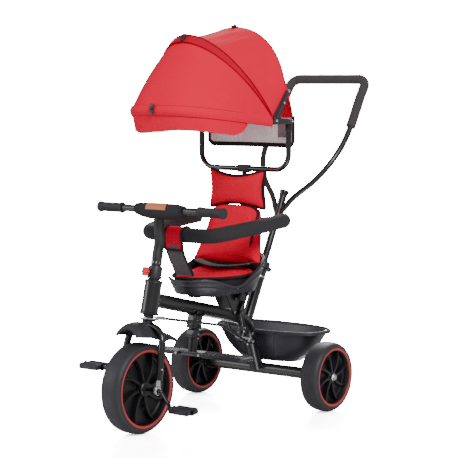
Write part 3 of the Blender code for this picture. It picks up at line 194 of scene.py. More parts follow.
@dataclass(frozen=True)
class PowderCoat(Finish):
    """Black powder coat baked on steel tube: satin, with a faint orange peel about 1.5 mm across."""

    peel_mm: float = 1.5
    coat: float = 0.25
    lighter: str = "2A2A2E"

    def pattern(self, tree: bpy.types.NodeTree, shader: bpy.types.Node) -> None:
        """Orange peel and a clear, slightly duller top film.

        Args:
            tree: the material's node tree.
            shader: its Principled shader.
        """
        place = add_node(tree, "TexCoord").outputs["Object"]
        self.mottle(tree, shader, place, 0.06, self.lighter, 0.05)
        peel = add_node(tree, "TexNoise", {"Vector": place, "Scale": 1000 / self.peel_mm, "Detail": 1.0})
        bump = add_node(tree, "Bump", {"Strength": 0.10, "Distance": 0.0002, "Height": peel.outputs["Fac"]})
        tree.links.new(bump.outputs["Normal"], shader.inputs["Normal"])
        shader.inputs["IOR"].default_value = 1.5
        shader.inputs["Coat Weight"].default_value = self.coat
        shader.inputs["Coat Roughness"].default_value = 0.12


@dataclass(frozen=True)
class Moulded(Finish):
    """Injection-moulded polypropylene: a fine spark-eroded grain that breaks up its highlights."""

    grain_mm: float = 0.9
    depth: float = 0.18
    lighter: str = "34333A"

    def pattern(self, tree: bpy.types.NodeTree, shader: bpy.types.Node) -> None:
        """Fine grain, drawn a little coarser than the real 0.3 mm so that it shows.

        Args:
            tree: the material's node tree.
            shader: its Principled shader.
        """
        place = add_node(tree, "TexCoord").outputs["Object"]
        self.mottle(tree, shader, place, 0.045, self.lighter, 0.06)
        grain = add_node(tree, "TexVoronoi", {"Vector": place, "Scale": 1000 / self.grain_mm})
        bump = add_node(tree, "Bump", {"Strength": self.depth, "Distance": 0.00025,
                                       "Height": grain.outputs["Distance"]})
        tree.links.new(bump.outputs["Normal"], shader.inputs["Normal"])
        shader.inputs["IOR"].default_value = 1.49


@dataclass(frozen=True)
class ClosedFoam(Finish):
    """Closed-cell foam, as on tyres and sleeves: matte, with cells about 1.2 mm across and a dusty bloom."""

    cell_mm: float = 1.2
    depth: float = 0.5
    bloom: float = 0.15
    lighter: str = "302F33"

    def pattern(self, tree: bpy.types.NodeTree, shader: bpy.types.Node) -> None:
        """Cells, and a weak sheen for the bloom.

        Args:
            tree: the material's node tree.
            shader: its Principled shader.
        """
        place = add_node(tree, "TexCoord").outputs["Object"]
        self.mottle(tree, shader, place, 0.03, self.lighter, 0.05)
        cells = add_node(tree, "TexVoronoi", {"Vector": place, "Scale": 1000 / self.cell_mm})
        fine = add_node(tree, "TexNoise", {"Vector": place, "Scale": 2200.0, "Detail": 2.0})
        both = add_node(tree, "Math", {0: cells.outputs["Distance"], 1: fine.outputs["Fac"]}, operation="ADD")
        bump = add_node(tree, "Bump", {"Strength": self.depth, "Distance": 0.0003, "Height": both.outputs[0]})
        tree.links.new(bump.outputs["Normal"], shader.inputs["Normal"])
        shader.inputs["Sheen Weight"].default_value = self.bloom
        shader.inputs["Sheen Roughness"].default_value = 0.5
        shader.inputs["Sheen Tint"].default_value = linear("8A8688")
        shader.inputs["IOR"].default_value = 1.45


@dataclass(frozen=True)
class Woven(Finish):
    """Plain-woven polyester: crossing threads, a soft sheen at grazing angles and slightly uneven dye."""

    thread_mm: float = 1.1
    on_uv: bool = True
    shade: str = "C4142F"
    sheen: float = 0.25
    pucker: float = 0.0

    def pattern(self, tree: bpy.types.NodeTree, shader: bpy.types.Node) -> None:
        """Warp and weft as crossed waves, drawn about twice the real 0.5 mm so that they show; the colour is darkened
        between the threads as painted shade and faintly lifted on them as painted highlight.

        Args:
            tree: the material's node tree.
            shader: its Principled shader.
        """
        coords = add_node(tree, "TexCoord")
        place = coords.outputs["UV" if self.on_uv else "Object"]
        dye = add_node(tree, "TexNoise", {"Vector": coords.outputs["Object"], "Scale": 14.0, "Detail": 4.0})
        mix = add_node(tree, "Mix", {0: dye.outputs["Fac"], 6: linear(self.colour), 7: linear(self.shade)},
                       data_type="RGBA")
        scale = 1000 / self.thread_mm / 20
        warp = add_node(tree, "TexWave", {"Vector": place, "Scale": scale, "Distortion": 0.3},
                        bands_direction="X")
        weft = add_node(tree, "TexWave", {"Vector": place, "Scale": scale, "Distortion": 0.3},
                        bands_direction="Y" if self.on_uv else "Z")
        cloth = add_node(tree, "Math", {0: warp.outputs["Fac"], 1: weft.outputs["Fac"]}, operation="MULTIPLY")
        # Painted shade between the threads and a faint painted highlight on them, scaled into the dyed colour.
        weave_shading = add_node(tree, "MapRange", {"Value": cloth.outputs[0], "To Min": 0.965, "To Max": 1.03})
        dye_and_weave_shading = add_node(tree, "VectorMath", {0: mix.outputs[2], "Scale": weave_shading.outputs["Result"]},
                        operation="SCALE")
        tree.links.new(dye_and_weave_shading.outputs[0], shader.inputs["Base Color"])
        folds = add_node(tree, "TexNoise", {"Vector": coords.outputs["Object"], "Scale": 45.0, "Detail": 2.0})
        soft = add_node(tree, "Bump", {"Strength": self.pucker, "Distance": 0.002,
                                       "Height": folds.outputs["Fac"]})
        bump = add_node(tree, "Bump", {"Strength": 0.12, "Distance": 0.0003, "Height": cloth.outputs[0],
                                       "Normal": soft.outputs["Normal"]})
        tree.links.new(bump.outputs["Normal"], shader.inputs["Normal"])
        shader.inputs["Sheen Weight"].default_value = self.sheen
        shader.inputs["Sheen Roughness"].default_value = 0.4
        shader.inputs["Sheen Tint"].default_value = linear(self.colour)
        shader.inputs["Specular IOR Level"].default_value = 0.15


@dataclass(frozen=True)
class SpacerMesh(Finish):
    """Knitted polyester mesh: rows of small round holes in a matte web."""

    hole_mm: float = 3.0
    hole: str = "2A2327"
    shine: float = 0.2

    def pattern(self, tree: bpy.types.NodeTree, shader: bpy.types.Node) -> None:
        """Holes as the middles of small cells, darker and sunk.

        Args:
            tree: the material's node tree.
            shader: its Principled shader.
        """
        place = add_node(tree, "TexCoord").outputs["Object"]
        cells = add_node(tree, "TexVoronoi", {"Vector": place, "Scale": 1000 / self.hole_mm,
                                              "Randomness": 0.25})
        web = add_node(tree, "MapRange", {"Value": cells.outputs["Distance"], "From Min": 0.22,
                                          "From Max": 0.42}, interpolation_type="SMOOTHSTEP")
        mix = add_node(tree, "Mix", {0: web.outputs["Result"], 6: linear(self.hole), 7: linear(self.colour)},
                       data_type="RGBA")
        tree.links.new(mix.outputs[2], shader.inputs["Base Color"])
        bump = add_node(tree, "Bump", {"Strength": 0.4, "Distance": 0.0005, "Height": web.outputs["Result"]})
        tree.links.new(bump.outputs["Normal"], shader.inputs["Normal"])
        shader.inputs["Sheen Weight"].default_value = self.shine


@dataclass(frozen=True)
class Plated(Finish):
    """Nickel-chrome or zinc on pressed steel: mirror bright, with fine polishing marks."""

    mark_mm: float = 0.6

    def pattern(self, tree: bpy.types.NodeTree, shader: bpy.types.Node) -> None:
        """Polishing marks in the roughness and a slight ripple.

        Args:
            tree: the material's node tree.
            shader: its Principled shader.
        """
        place = add_node(tree, "TexCoord").outputs["Object"]
        marks = add_node(tree, "TexNoise", {"Vector": place, "Scale": 1000 / self.mark_mm, "Detail": 4.0})
        rough = add_node(tree, "MapRange", {"Value": marks.outputs["Fac"], "To Min": self.roughness * 0.7,
                                            "To Max": self.roughness * 1.6})
        tree.links.new(rough.outputs["Result"], shader.inputs["Roughness"])
        ripple = add_node(tree, "TexNoise", {"Vector": place, "Scale": 120.0, "Detail": 1.0})
        bump = add_node(tree, "Bump", {"Strength": 0.12, "Distance": 0.0006, "Height": ripple.outputs["Fac"]})
        tree.links.new(bump.outputs["Normal"], shader.inputs["Normal"])
        shader.inputs["Metallic"].default_value = 1.0


@dataclass(frozen=True)
class Ribbed(Finish):
    """Rubbery sleeve with slanting ribs, as wrapped round the handlebar's post."""

    pitch_mm: float = 5.0

    def pattern(self, tree: bpy.types.NodeTree, shader: bpy.types.Node) -> None:
        """Slanting ribs, with painted shade colouring the grooves between them near black.

        Args:
            tree: the material's node tree.
            shader: its Principled shader.
        """
        place = add_node(tree, "TexCoord").outputs["Object"]
        ribs = add_node(tree, "TexWave", {"Vector": place, "Scale": 1000 / self.pitch_mm / 20,
                                          "Distortion": 0.4}, bands_direction="DIAGONAL")
        # The grooves get a near-black colour as painted shade.
        mix = add_node(tree, "Mix", {0: ribs.outputs["Fac"], 6: linear("141416"), 7: linear(self.colour)},
                       data_type="RGBA")
        tree.links.new(mix.outputs[2], shader.inputs["Base Color"])
        bump = add_node(tree, "Bump", {"Strength": 0.7, "Distance": 0.001, "Height": ribs.outputs["Fac"]})
        tree.links.new(bump.outputs["Normal"], shader.inputs["Normal"])


@dataclass(frozen=True)
class Hide(Finish):
    """Tanned split leather: pebbled grain about 1.2 mm across and uneven tan."""

    grain_mm: float = 1.2

    def pattern(self, tree: bpy.types.NodeTree, shader: bpy.types.Node) -> None:
        """Pebbles with darker creases.

        Args:
            tree: the material's node tree.
            shader: its Principled shader.
        """
        place = add_node(tree, "TexCoord").outputs["Object"]
        self.mottle(tree, shader, place, 0.012, "B96A3E", 0.08)
        grain = add_node(tree, "TexVoronoi", {"Vector": place, "Scale": 1000 / self.grain_mm})
        bump = add_node(tree, "Bump", {"Strength": 0.35, "Distance": 0.0004,
                                       "Height": grain.outputs["Distance"]})
        tree.links.new(bump.outputs["Normal"], shader.inputs["Normal"])


TUBE_PAINT = PowderCoat("powder_coated_tube", "121114", 0.30, coat=0.35, lighter="1A1A1D")
FORK_PAINT = PowderCoat("gloss_coated_fork", "0F0E11", 0.22, coat=0.6, lighter="17171A")
SHELL_PLASTIC = Moulded("polypropylene_shell", "28272D", 0.36)
DULL_PLASTIC = Moulded("polypropylene_dull", "252429", 0.5, depth=0.3)
BASKET_PLASTIC = Moulded("polypropylene_tub", "2B2A30", 0.34, lighter="3A3940")
WHEEL_PLASTIC = Moulded("wheel_centre_nylon", "111013", 0.36, lighter="19181B")
RED_PLASTIC = Moulded("red_abs", "F03A30", 0.3, lighter="F4483C", depth=0.08)
RING_RED = Moulded("wheel_ring_red", "B92F33", 0.42, lighter="C43A3C", depth=0.1)
BLUE_PLUG = Moulded("pale_blue_plug", "B9D2DC", 0.4, lighter="C6DCE4", depth=0.1)
TYRE_FOAM = ClosedFoam("eva_tyre", "2A292D", 0.5, depth=0.22, bloom=0.1, lighter="36353A")
SLEEVE_FOAM = ClosedFoam("nbr_sleeve", "252326", 0.85, cell_mm=1.4, depth=0.6)
HANDLE_FOAM = ClosedFoam("nbr_handle", "3A3838", 0.8, cell_mm=1.4, depth=0.6, bloom=0.25, lighter="444142")
GRIP_RUBBER = ClosedFoam("tpe_grip", "29282B", 0.6, cell_mm=0.9, depth=0.35)
CANOPY_CLOTH = Woven("canopy_polyester", "FA003C", 0.8, pucker=0.08, shade="F00036", sheen=0.04)
CANOPY_BAND = Woven("canopy_band_polyester", "D20030", 0.82, shade="C2002A", sheen=0.03)
CANOPY_SEAM = Woven("canopy_seam_polyester", "A8001E", 0.85, shade="980018", sheen=0.04)
CUSHION_CLOTH = Woven("cushion_polyester", "F40036", 0.8, on_uv=False, pucker=0.25, shade="E00030", sheen=0.05)
SLEEVE_CLOTH = Woven("sleeve_polyester", "DC0030", 0.82, on_uv=False, pucker=0.15, shade="C4002A", sheen=0.05)
BINDING = Woven("black_bias_binding", "2C272B", 0.85, on_uv=False, shade="211D21", sheen=0.3)
PAD_CLOTH = Woven("black_neoprene_pad", "39353A", 0.8, on_uv=False, shade="302C31", sheen=0.2, pucker=0.2)
STRAP_MESH = SpacerMesh("strap_spacer_mesh", "54474C", 0.85)
WINDOW_MESH = SpacerMesh("window_mesh", "FFFFFF", 0.6, hole_mm=2.4, hole="ECEDF0", shine=0.6)
GREY_PATCH = Woven("grey_hook_tape", "8F868C", 0.9, on_uv=False, shade="7D757B")
CHROME = Plated("chromed_steel", "D8D9DC", 0.14)
DARK_CHROME = Plated("blackened_steel", "4A4A4E", 0.26)
ZINC = Plated("zinc_plated_steel", "B4B5B8", 0.3)
STEM_SLEEVE = Ribbed("stem_ribbed_sleeve", "2B2A2D", 0.5)
LEATHER = Hide("tan_leather", "DB8A5C", 0.55)


# ------------------------------------------------------------------------------------ mesh building
def lathe(profile: Sequence[tuple[float, float]], segments: int = 64) -> bmesh.types.BMesh:
    """Turns a profile about Z into a closed solid.

    Args:
        profile: (radius, height) points; it is closed on itself unless it starts on the axis.
        segments: faces round the turn.

    Returns:
        The bmesh.
    """
    bm = bmesh.new()
    verts = [bm.verts.new((r, 0.0, z)) for r, z in profile]
    edges = [bm.edges.new(pair) for pair in zip(verts, verts[1:])]
    if profile[0][0] > 1e-7:
        edges.append(bm.edges.new((verts[-1], verts[0])))
    bmesh.ops.spin(bm, geom=verts + edges, cent=(0, 0, 0), axis=(0, 0, 1), angle=2 * math.pi,
                   steps=segments, use_merge=True)
    return bm


def along_x(bm: bmesh.types.BMesh, x: float = 0.0) -> bmesh.types.BMesh:
    """Turns what stands along Z to lie along +X, from x on."""
    bmesh.ops.rotate(bm, verts=bm.verts, matrix=Matrix.Rotation(math.radians(90), 3, "Y"))
    bmesh.ops.translate(bm, verts=bm.verts, vec=(x, 0, 0))
    return bm


def placed(bm: bmesh.types.BMesh, matrix: Matrix) -> bmesh.types.BMesh:
    """Moves a whole bmesh by a matrix."""
    bmesh.ops.transform(bm, verts=bm.verts, matrix=matrix)
    return bm


def joined(parts: Iterable[bmesh.types.BMesh]) -> bmesh.types.BMesh:
    """Puts several bmeshes in one.

    Args:
        parts: the bmeshes, which are freed.

    Returns:
        One bmesh that holds them all.
    """
    whole = bmesh.new()
    for part in parts:
        mesh = bpy.data.meshes.new("part")
        part.to_mesh(mesh)
        part.free()
        whole.from_mesh(mesh)
        bpy.data.meshes.remove(mesh)
    return whole


def slab(outline: Sequence[tuple[float, float]], low: float, high: float, plane: str = "YZ",
         bevel: float = 0.0, segments: int = 2) -> bmesh.types.BMesh:
    """A flat plate cut to an outline, with its edges rounded.

    Args:
        outline: closed outline in the plane.
        low: where its thickness starts.
        high: where its thickness ends.
        plane: YZ, XZ or XY.
        bevel: radius of the edges.
        segments: steps in the bevel.

    Returns:
        The bmesh.
    """
    lay = {"YZ": lambda a, b, c: (c, a, b), "XZ": lambda a, b, c: (a, c, b), "XY": lambda a, b, c: (a, b, c)}
    bm = bmesh.new()
    face = bm.faces.new([bm.verts.new(lay[plane](a, b, low)) for a, b in outline])
    grown = bmesh.ops.extrude_face_region(bm, geom=[face])
    moved = [v for v in grown["geom"] if isinstance(v, bmesh.types.BMVert)]
    bmesh.ops.translate(bm, verts=moved, vec=Vector(lay[plane](0, 0, high - low)))
    if bevel:
        edges = [e for e in bm.edges if any(len(f.verts) > 4 for f in e.link_faces)
                 or len(outline) == 4]
        bmesh.ops.bevel(bm, geom=edges, offset=bevel, segments=segments, profile=0.5, affect="EDGES",
                        material=-1)
    return bm


def brick(low: Sequence[float], high: Sequence[float], bevel: float = 0.001) -> bmesh.types.BMesh:
    """A rounded block between two corners.

    Args:
        low: its lowest corner.
        high: its highest corner.
        bevel: radius of its edges.

    Returns:
        The bmesh.
    """
    bm = bmesh.new()
    bmesh.ops.create_cube(bm, size=1.0)
    size = Vector(high) - Vector(low)
    bmesh.ops.scale(bm, verts=bm.verts, vec=size)
    bmesh.ops.translate(bm, verts=bm.verts, vec=(Vector(high) + Vector(low)) / 2)
    bmesh.ops.bevel(bm, geom=bm.edges[:], offset=bevel, segments=3, profile=0.5, affect="EDGES", material=-1)
    return bm


def skin(spot: Callable[[float, float], Vector], across: int, along: int, wrap: bool = False,
         capped: bool = False) -> bmesh.types.BMesh:
    """A grid bent to a surface, with a UV map in metres.

    Args:
        spot: gives the point for (u, v), each from 0 to 1.
        across: faces along u.
        along: faces along v.
        wrap: u runs right round, so its two ends meet.
        capped: the openings at the two ends of v are closed.

    Returns:
        The bmesh.
    """
    bm = bmesh.new()
    bmesh.ops.create_grid(bm, x_segments=across, y_segments=along, size=0.5)
    uv = bm.loops.layers.uv.new("UVMap")
    shares = {v: (v.co.x + 0.5, v.co.y + 0.5) for v in bm.verts}
    reach = [sum((spot((k + 1) / 24, 0.5) - spot(k / 24, 0.5)).length for k in range(24)),
             sum((spot(0.5, (k + 1) / 24) - spot(0.5, k / 24)).length for k in range(24))]
    for face in bm.faces:
        for loop in face.loops:
            u, v = shares[loop.vert]
            loop[uv].uv = (u * reach[0], v * reach[1])
    for vert, (u, v) in shares.items():
        vert.co = spot(min(max(u, 0.0), 1.0), min(max(v, 0.0), 1.0))
    if wrap:
        bmesh.ops.remove_doubles(bm, verts=bm.verts, dist=1e-6)
    if capped:
        open_edges = [e for e in bm.edges if len(e.link_faces) == 1]
        bmesh.ops.holes_fill(bm, edges=open_edges, sides=0)
    return bm


def rounded(points: Sequence[Sequence[float]], radius: float | Sequence[float], step: float = 5.0) -> list[Vector]:
    """A polyline with its corners turned into arcs.

    Args:
        points: the corners.
        radius: one radius, or one for each inner corner.
        step: degrees between the points of an arc.

    Returns:
        The points.
    """
    points = [Vector(p) for p in points]
    radii = radius if isinstance(radius, (list, tuple)) else [radius] * (len(points) - 2)
    out = [points[0]]
    for before, corner, after, r in zip(points, points[1:], points[2:], radii):
        a, b = (before - corner).normalized(), (after - corner).normalized()
        turn = math.pi - a.angle(b)
        if turn < 1e-4 or r <= 0:
            out.append(corner)
            continue
        reach = r * math.tan(turn / 2)
        middle = corner + (a + b).normalized() * (r / math.cos(turn / 2))
        start, end = corner + a * reach - middle, corner + b * reach - middle
        axis = start.cross(end).normalized()
        count = max(2, math.ceil(math.degrees(turn) / step))
        out += [middle + Matrix.Rotation(turn * k / count, 3, axis) @ start for k in range(count + 1)]
    return out + [points[-1]]


def flowing(points: Sequence[Sequence[float]], count: int) -> list[Vector]:
    """A smooth curve through points.

    Args:
        points: what it passes through.
        count: how many points it gives.

    Returns:
        The points.
    """
    points = [Vector(p) for p in points]
    ends = [2 * points[0] - points[1]] + points + [2 * points[-1] - points[-2]]
    spans = len(points) - 1
    out = []
    for k in range(count):
        t = k * spans / (count - 1)
        i = min(int(t), spans - 1)
        t -= i
        p, q, r, s = ends[i:i + 4]
        out.append(0.5 * ((2 * q) + (r - p) * t + (2 * p - 5 * q + 4 * r - s) * t * t
                          + (3 * q - p - 3 * r + s) * t ** 3))
    return out


def sweep(path: Sequence[Vector], radius: float, sides: int = 28, closed: bool = False,
          swell: Callable[[float], float] | None = None, flat: float = 1.0) -> bmesh.types.BMesh:
    """A round bar along a path, made with a bevelled curve.

    Args:
        path: its centre line.
        radius: its radius.
        sides: faces round it.
        closed: the path is a loop.
        swell: scales the radius at a share of the path.
        flat: height of its section over its width, for a flattened bar in a level plane.

    Returns:
        The bmesh, with closed ends.
    """
    curve = bpy.data.curves.new("line", "CURVE")
    curve.dimensions = "3D"
    curve.bevel_depth = radius
    curve.bevel_resolution = max(0, (sides - 4) // 2)
    curve.use_fill_caps = not closed
    line = curve.splines.new("POLY")
    line.points.add(len(path) - 1)
    for k, (point, place) in enumerate(zip(line.points, path)):
        point.co = (*place, 1)
        point.radius = swell(k / (len(path) - 1)) if swell else 1.0
    line.use_cyclic_u = closed
    holder = bpy.data.objects.new("line", curve)
    bpy.context.collection.objects.link(holder)
    bpy.context.view_layer.update()
    mesh = bpy.data.meshes.new_from_object(holder.evaluated_get(bpy.context.evaluated_depsgraph_get()))
    bpy.data.objects.remove(holder, do_unlink=True)
    bpy.data.curves.remove(curve)
    bm = bmesh.new()
    bm.from_mesh(mesh)
    bpy.data.meshes.remove(mesh)
    if flat != 1.0:
        middle = sum((Vector(p) for p in path), Vector()) / len(path)
        bmesh.ops.scale(bm, verts=bm.verts, vec=(1, 1, flat), space=Matrix.Translation(-middle))
    return bm


def thickened(bm: bmesh.types.BMesh, thickness: float) -> bmesh.types.BMesh:
    """Gives a surface a wall, after its normals are made to agree.

    Args:
        bm: the surface.
        thickness: the wall; a negative one grows outwards.

    Returns:
        The closed bmesh.
    """
    bmesh.ops.recalc_face_normals(bm, faces=bm.faces)
    bmesh.ops.solidify(bm, geom=bm.faces[:], thickness=thickness)
    return bm


def rounded_outline(points: Sequence[tuple[float, float]], radius: float,
                    step: float = 12.0) -> list[tuple[float, float]]:
    """A closed outline with rounded corners.

    Args:
        points: its corners.
        radius: radius of the corners.
        step: degrees between points.

    Returns:
        (a, b) pairs.
    """
    out = []
    for k in range(len(points)):
        trio = [Vector((*points[(k + j) % len(points)], 0)) for j in (-1, 0, 1)]
        out += [(p.x, p.y) for p in rounded(trio, radius, step)[1:-1]]
    return out


def squircle(angle: float, half_x: float, half_y: float, power: float) -> tuple[float, float]:
    """A point of a rounded box's outline.

    Args:
        angle: its bearing.
        half_x: half its width.
        half_y: half its depth.
        power: 2 is an ellipse and more is squarer.

    Returns:
        (x, y).
    """
    c, s = math.cos(angle), math.sin(angle)
    return (half_x * math.copysign(abs(c) ** (2 / power), c), half_y * math.copysign(abs(s) ** (2 / power), s))


def seal(bm: bmesh.types.BMesh) -> None:
    """Merges doubles and turns the faces outwards.

    Args:
        bm: the bmesh.
    """
    bmesh.ops.remove_doubles(bm, verts=bm.verts, dist=1e-6)
    bmesh.ops.dissolve_degenerate(bm, edges=bm.edges[:], dist=1e-7)
    bmesh.ops.recalc_face_normals(bm, faces=bm.faces)


def piece(name: str, bm: bmesh.types.BMesh, finish: Finish, body: str,
          nodes: Sequence[str] = (), matrix: Matrix = WORLD, crease: float = 40.0,
          keep_normals: bool = False) -> bpy.types.Object:
    """Turns a bmesh into a finished piece that rides on a body, or on none when the body is empty.

    Args:
        name: the piece's name.
        bm: its shape, which is freed.
        finish: its finish.
        body: the CAD body it moves with.
        nodes: CAD nodes that it stands for.
        matrix: where its plain coordinates stand.
        crease: edges sharper than this many degrees stay sharp.
        keep_normals: leaves the faces as they are.

    Returns:
        The object.
    """
    if not keep_normals:
        seal(bm)
    bmesh.ops.transform(bm, verts=bm.verts, matrix=matrix)
    mesh = bpy.data.meshes.new(name)
    bm.to_mesh(mesh)
    bm.free()
    mesh.shade_smooth()
    mesh.set_sharp_from_angle(angle=math.radians(crease))
    mesh.materials.append(finish.material())
    made = bpy.data.objects.new(name, mesh)
    bpy.context.collection.objects.link(made)
    if nodes:
        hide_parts(*nodes)
    if body:
        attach(made, body)
    LOG.info("%s: %d faces", name, len(mesh.polygons))
    return made


def cloth_area(bm: bmesh.types.BMesh) -> float:
    """Area of a surface, in square metres."""
    return sum(face.calc_area() for face in bm.faces)


def screw(place: Sequence[float], axis: Sequence[float], radius: float = 0.004,
          height: float = 0.0022) -> bmesh.types.BMesh:
    """A domed screw head with a hexagon socket.

    Args:
        place: where its seat is.
        axis: the way its head points.
        radius: radius of the head.
        height: height of the head.

    Returns:
        The bmesh.
    """
    bm = lathe([(0, -0.001), (radius, -0.001), (radius, height * 0.35), (radius * 0.85, height * 0.8),
                (radius * 0.5, height), (radius * 0.45, height), (radius * 0.4, height * 0.3), (0, height * 0.3)], 20)
    turn = Vector((0, 0, 1)).rotation_difference(Vector(axis)).to_matrix().to_4x4()
    return placed(bm, Matrix.Translation(Vector(place)) @ turn)


def dress(node: str, finish: Finish) -> None:
    """Gives a CAD node whose shape is right a better material.

    Args:
        node: its name.
        finish: the finish.
    """
    for slot_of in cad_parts[node].material_slots:
        slot_of.material = finish.material()


def stuffed(obj: bpy.types.Object, voxel: float = 0.005, pressure: float = 4.0, cap: float = 0.006) -> None:
    """Blows a pad up with a cloth simulation, so that it crowns and puckers as sewn fabric does.

    Args:
        obj: the pad, closed and a little small; its mesh is replaced.
        voxel: size of the cells it is remeshed to.
        pressure: the simulation's pressure.
        cap: furthest that a point may move.
    """
    step = obj.modifiers.new("remesh", "REMESH")
    step.mode = "VOXEL"
    step.voxel_size = voxel
    bpy.context.view_layer.update()
    start = bpy.data.meshes.new_from_object(obj.evaluated_get(bpy.context.evaluated_depsgraph_get()))
    obj.modifiers.clear()
    finish = obj.data.materials[0]
    obj.data = start
    start.materials.clear()
    start.materials.append(finish)
    rest = np.array([v.co for v in start.vertices])
    cloth = obj.modifiers.new("cloth", "CLOTH")
    cloth.settings.use_pressure = True
    cloth.settings.uniform_pressure_force = pressure
    cloth.settings.effector_weights.gravity = 0.0
    cloth.settings.quality = 4
    cloth.point_cache.frame_start = 1
    cloth.point_cache.frame_end = 20
    scene = bpy.context.scene
    for frame_number in range(1, 21):
        scene.frame_set(frame_number)
    shown = obj.evaluated_get(bpy.context.evaluated_depsgraph_get())
    moved = np.array([v.co for v in shown.data.vertices]) - rest
    obj.modifiers.remove(cloth)
    scene.frame_set(1)
    length = np.linalg.norm(moved, axis=1, keepdims=True)
    moved *= np.minimum(1.0, cap / np.maximum(length, 1e-9))
    start.vertices.foreach_set("co", (rest + moved).astype(np.float32).ravel())
    start.update()
    start.shade_smooth()
    level = obj.modifiers.new("smoother", "SUBSURF")
    level.levels = level.render_levels = 1


# ------------------------------------------------------------------------------------------- wheels
@dataclass
class Wheel:
    """A moulded wheel: foam tyre, red ring, and a nylon centre with curved spokes; its axle lies along X."""

    word: str
    body: str
    node_tyre: str
    node_rim: str
    centre: Vector
    radius: float
    half_width: float
    ring_out: float
    ring_in: float
    hub_radius: float
    hub_half: float
    bore: float
    spokes: int = 8
    spoke_sweep: float = 17.0
    web: float = 0.0075

    def place(self) -> Matrix:
        """Where the wheel's own coordinates stand."""
        return Matrix.Translation(self.centre)

    def tyre(self) -> None:
        """A smooth tread with full shoulders, down to the ring and in over the rim."""
        rise = self.radius - self.ring_out + 0.003
        profile = []
        for k in range(33):
            a = math.pi * k / 32
            x, r = squircle(a, self.half_width, rise, 2.7)
            profile.append((self.ring_out - 0.003 + r, x))
        inner = self.radius - 0.0128
        profile += [(self.ring_in - 0.0012, -self.half_width + 0.0035), (inner - 0.010, -self.half_width + 0.009),
                    (inner - 0.010, self.half_width - 0.009), (self.ring_in - 0.0012, self.half_width - 0.0035)]
        piece("tyre_" + self.word, along_x(lathe(profile, 96)), TYRE_FOAM, self.body,
              [self.node_tyre], self.place(), 50)

    def ring(self) -> None:
        """The red bead on both faces."""
        beads = []
        for sign in (1, -1):
            face = self.half_width - 0.0022
            profile = [(self.ring_in, face - 0.004), (self.ring_out, face - 0.004), (self.ring_out, face + 0.0006),
                       (self.ring_out - 0.0012, face + 0.0016), (self.ring_in + 0.0014, face + 0.0016),
                       (self.ring_in, face + 0.0004)]
            beads.append(along_x(lathe([(r, sign * x) for r, x in profile], 96)))
        piece("ring_" + self.word, joined(beads), RING_RED, self.body, (), self.place(), 30)

    def centre_piece(self) -> None:
        """Barrel, recessed web, hub and the curved spokes on both faces."""
        rim, edge = self.ring_in - 0.0003, self.half_width - 0.0035
        profile = [(self.bore, self.hub_half), (self.hub_radius * 0.52, self.hub_half),
                   (self.hub_radius * 0.56, self.hub_half - 0.002), (self.hub_radius * 0.86, self.hub_half - 0.002),
                   (self.hub_radius, self.hub_half - 0.005), (self.hub_radius + 0.001, self.web + 0.002),
                   (self.hub_radius + 0.004, self.web), (rim - 0.008, self.web), (rim - 0.004, self.web + 0.003),
                   (rim - 0.0015, edge - 0.002), (rim, edge)]
        whole = profile + [(r, -x) for r, x in profile[::-1]]
        parts = [along_x(lathe(whole, 96))]
        first, last = self.hub_radius * 0.9, rim - 0.002
        for sign in (1, -1):
            for k in range(self.spokes):
                left, right = [], []
                for j in range(9):
                    t = j / 8
                    r = first + (last - first) * t
                    bend = math.radians(self.spoke_sweep) * t ** 1.6
                    half = (0.0042 - 0.0018 * t) / r
                    left.append((r * math.cos(bend + half), r * math.sin(bend + half)))
                    right.append((r * math.cos(bend - half), r * math.sin(bend - half)))
                low, high = sorted((sign * (self.web - 0.001), sign * (edge - 0.006)))
                blade = slab(left + right[::-1], low, high, "YZ", 0.0011)
                parts.append(placed(blade, Matrix.Rotation(2 * math.pi * (k + 0.15) / self.spokes, 4, "X")))
        piece("centre_" + self.word, joined(parts), WHEEL_PLASTIC, self.body,
              [self.node_rim], self.place(), 35)

    def build(self) -> None:
        """Makes the whole wheel."""
        self.tyre()
        self.ring()
        self.centre_piece()


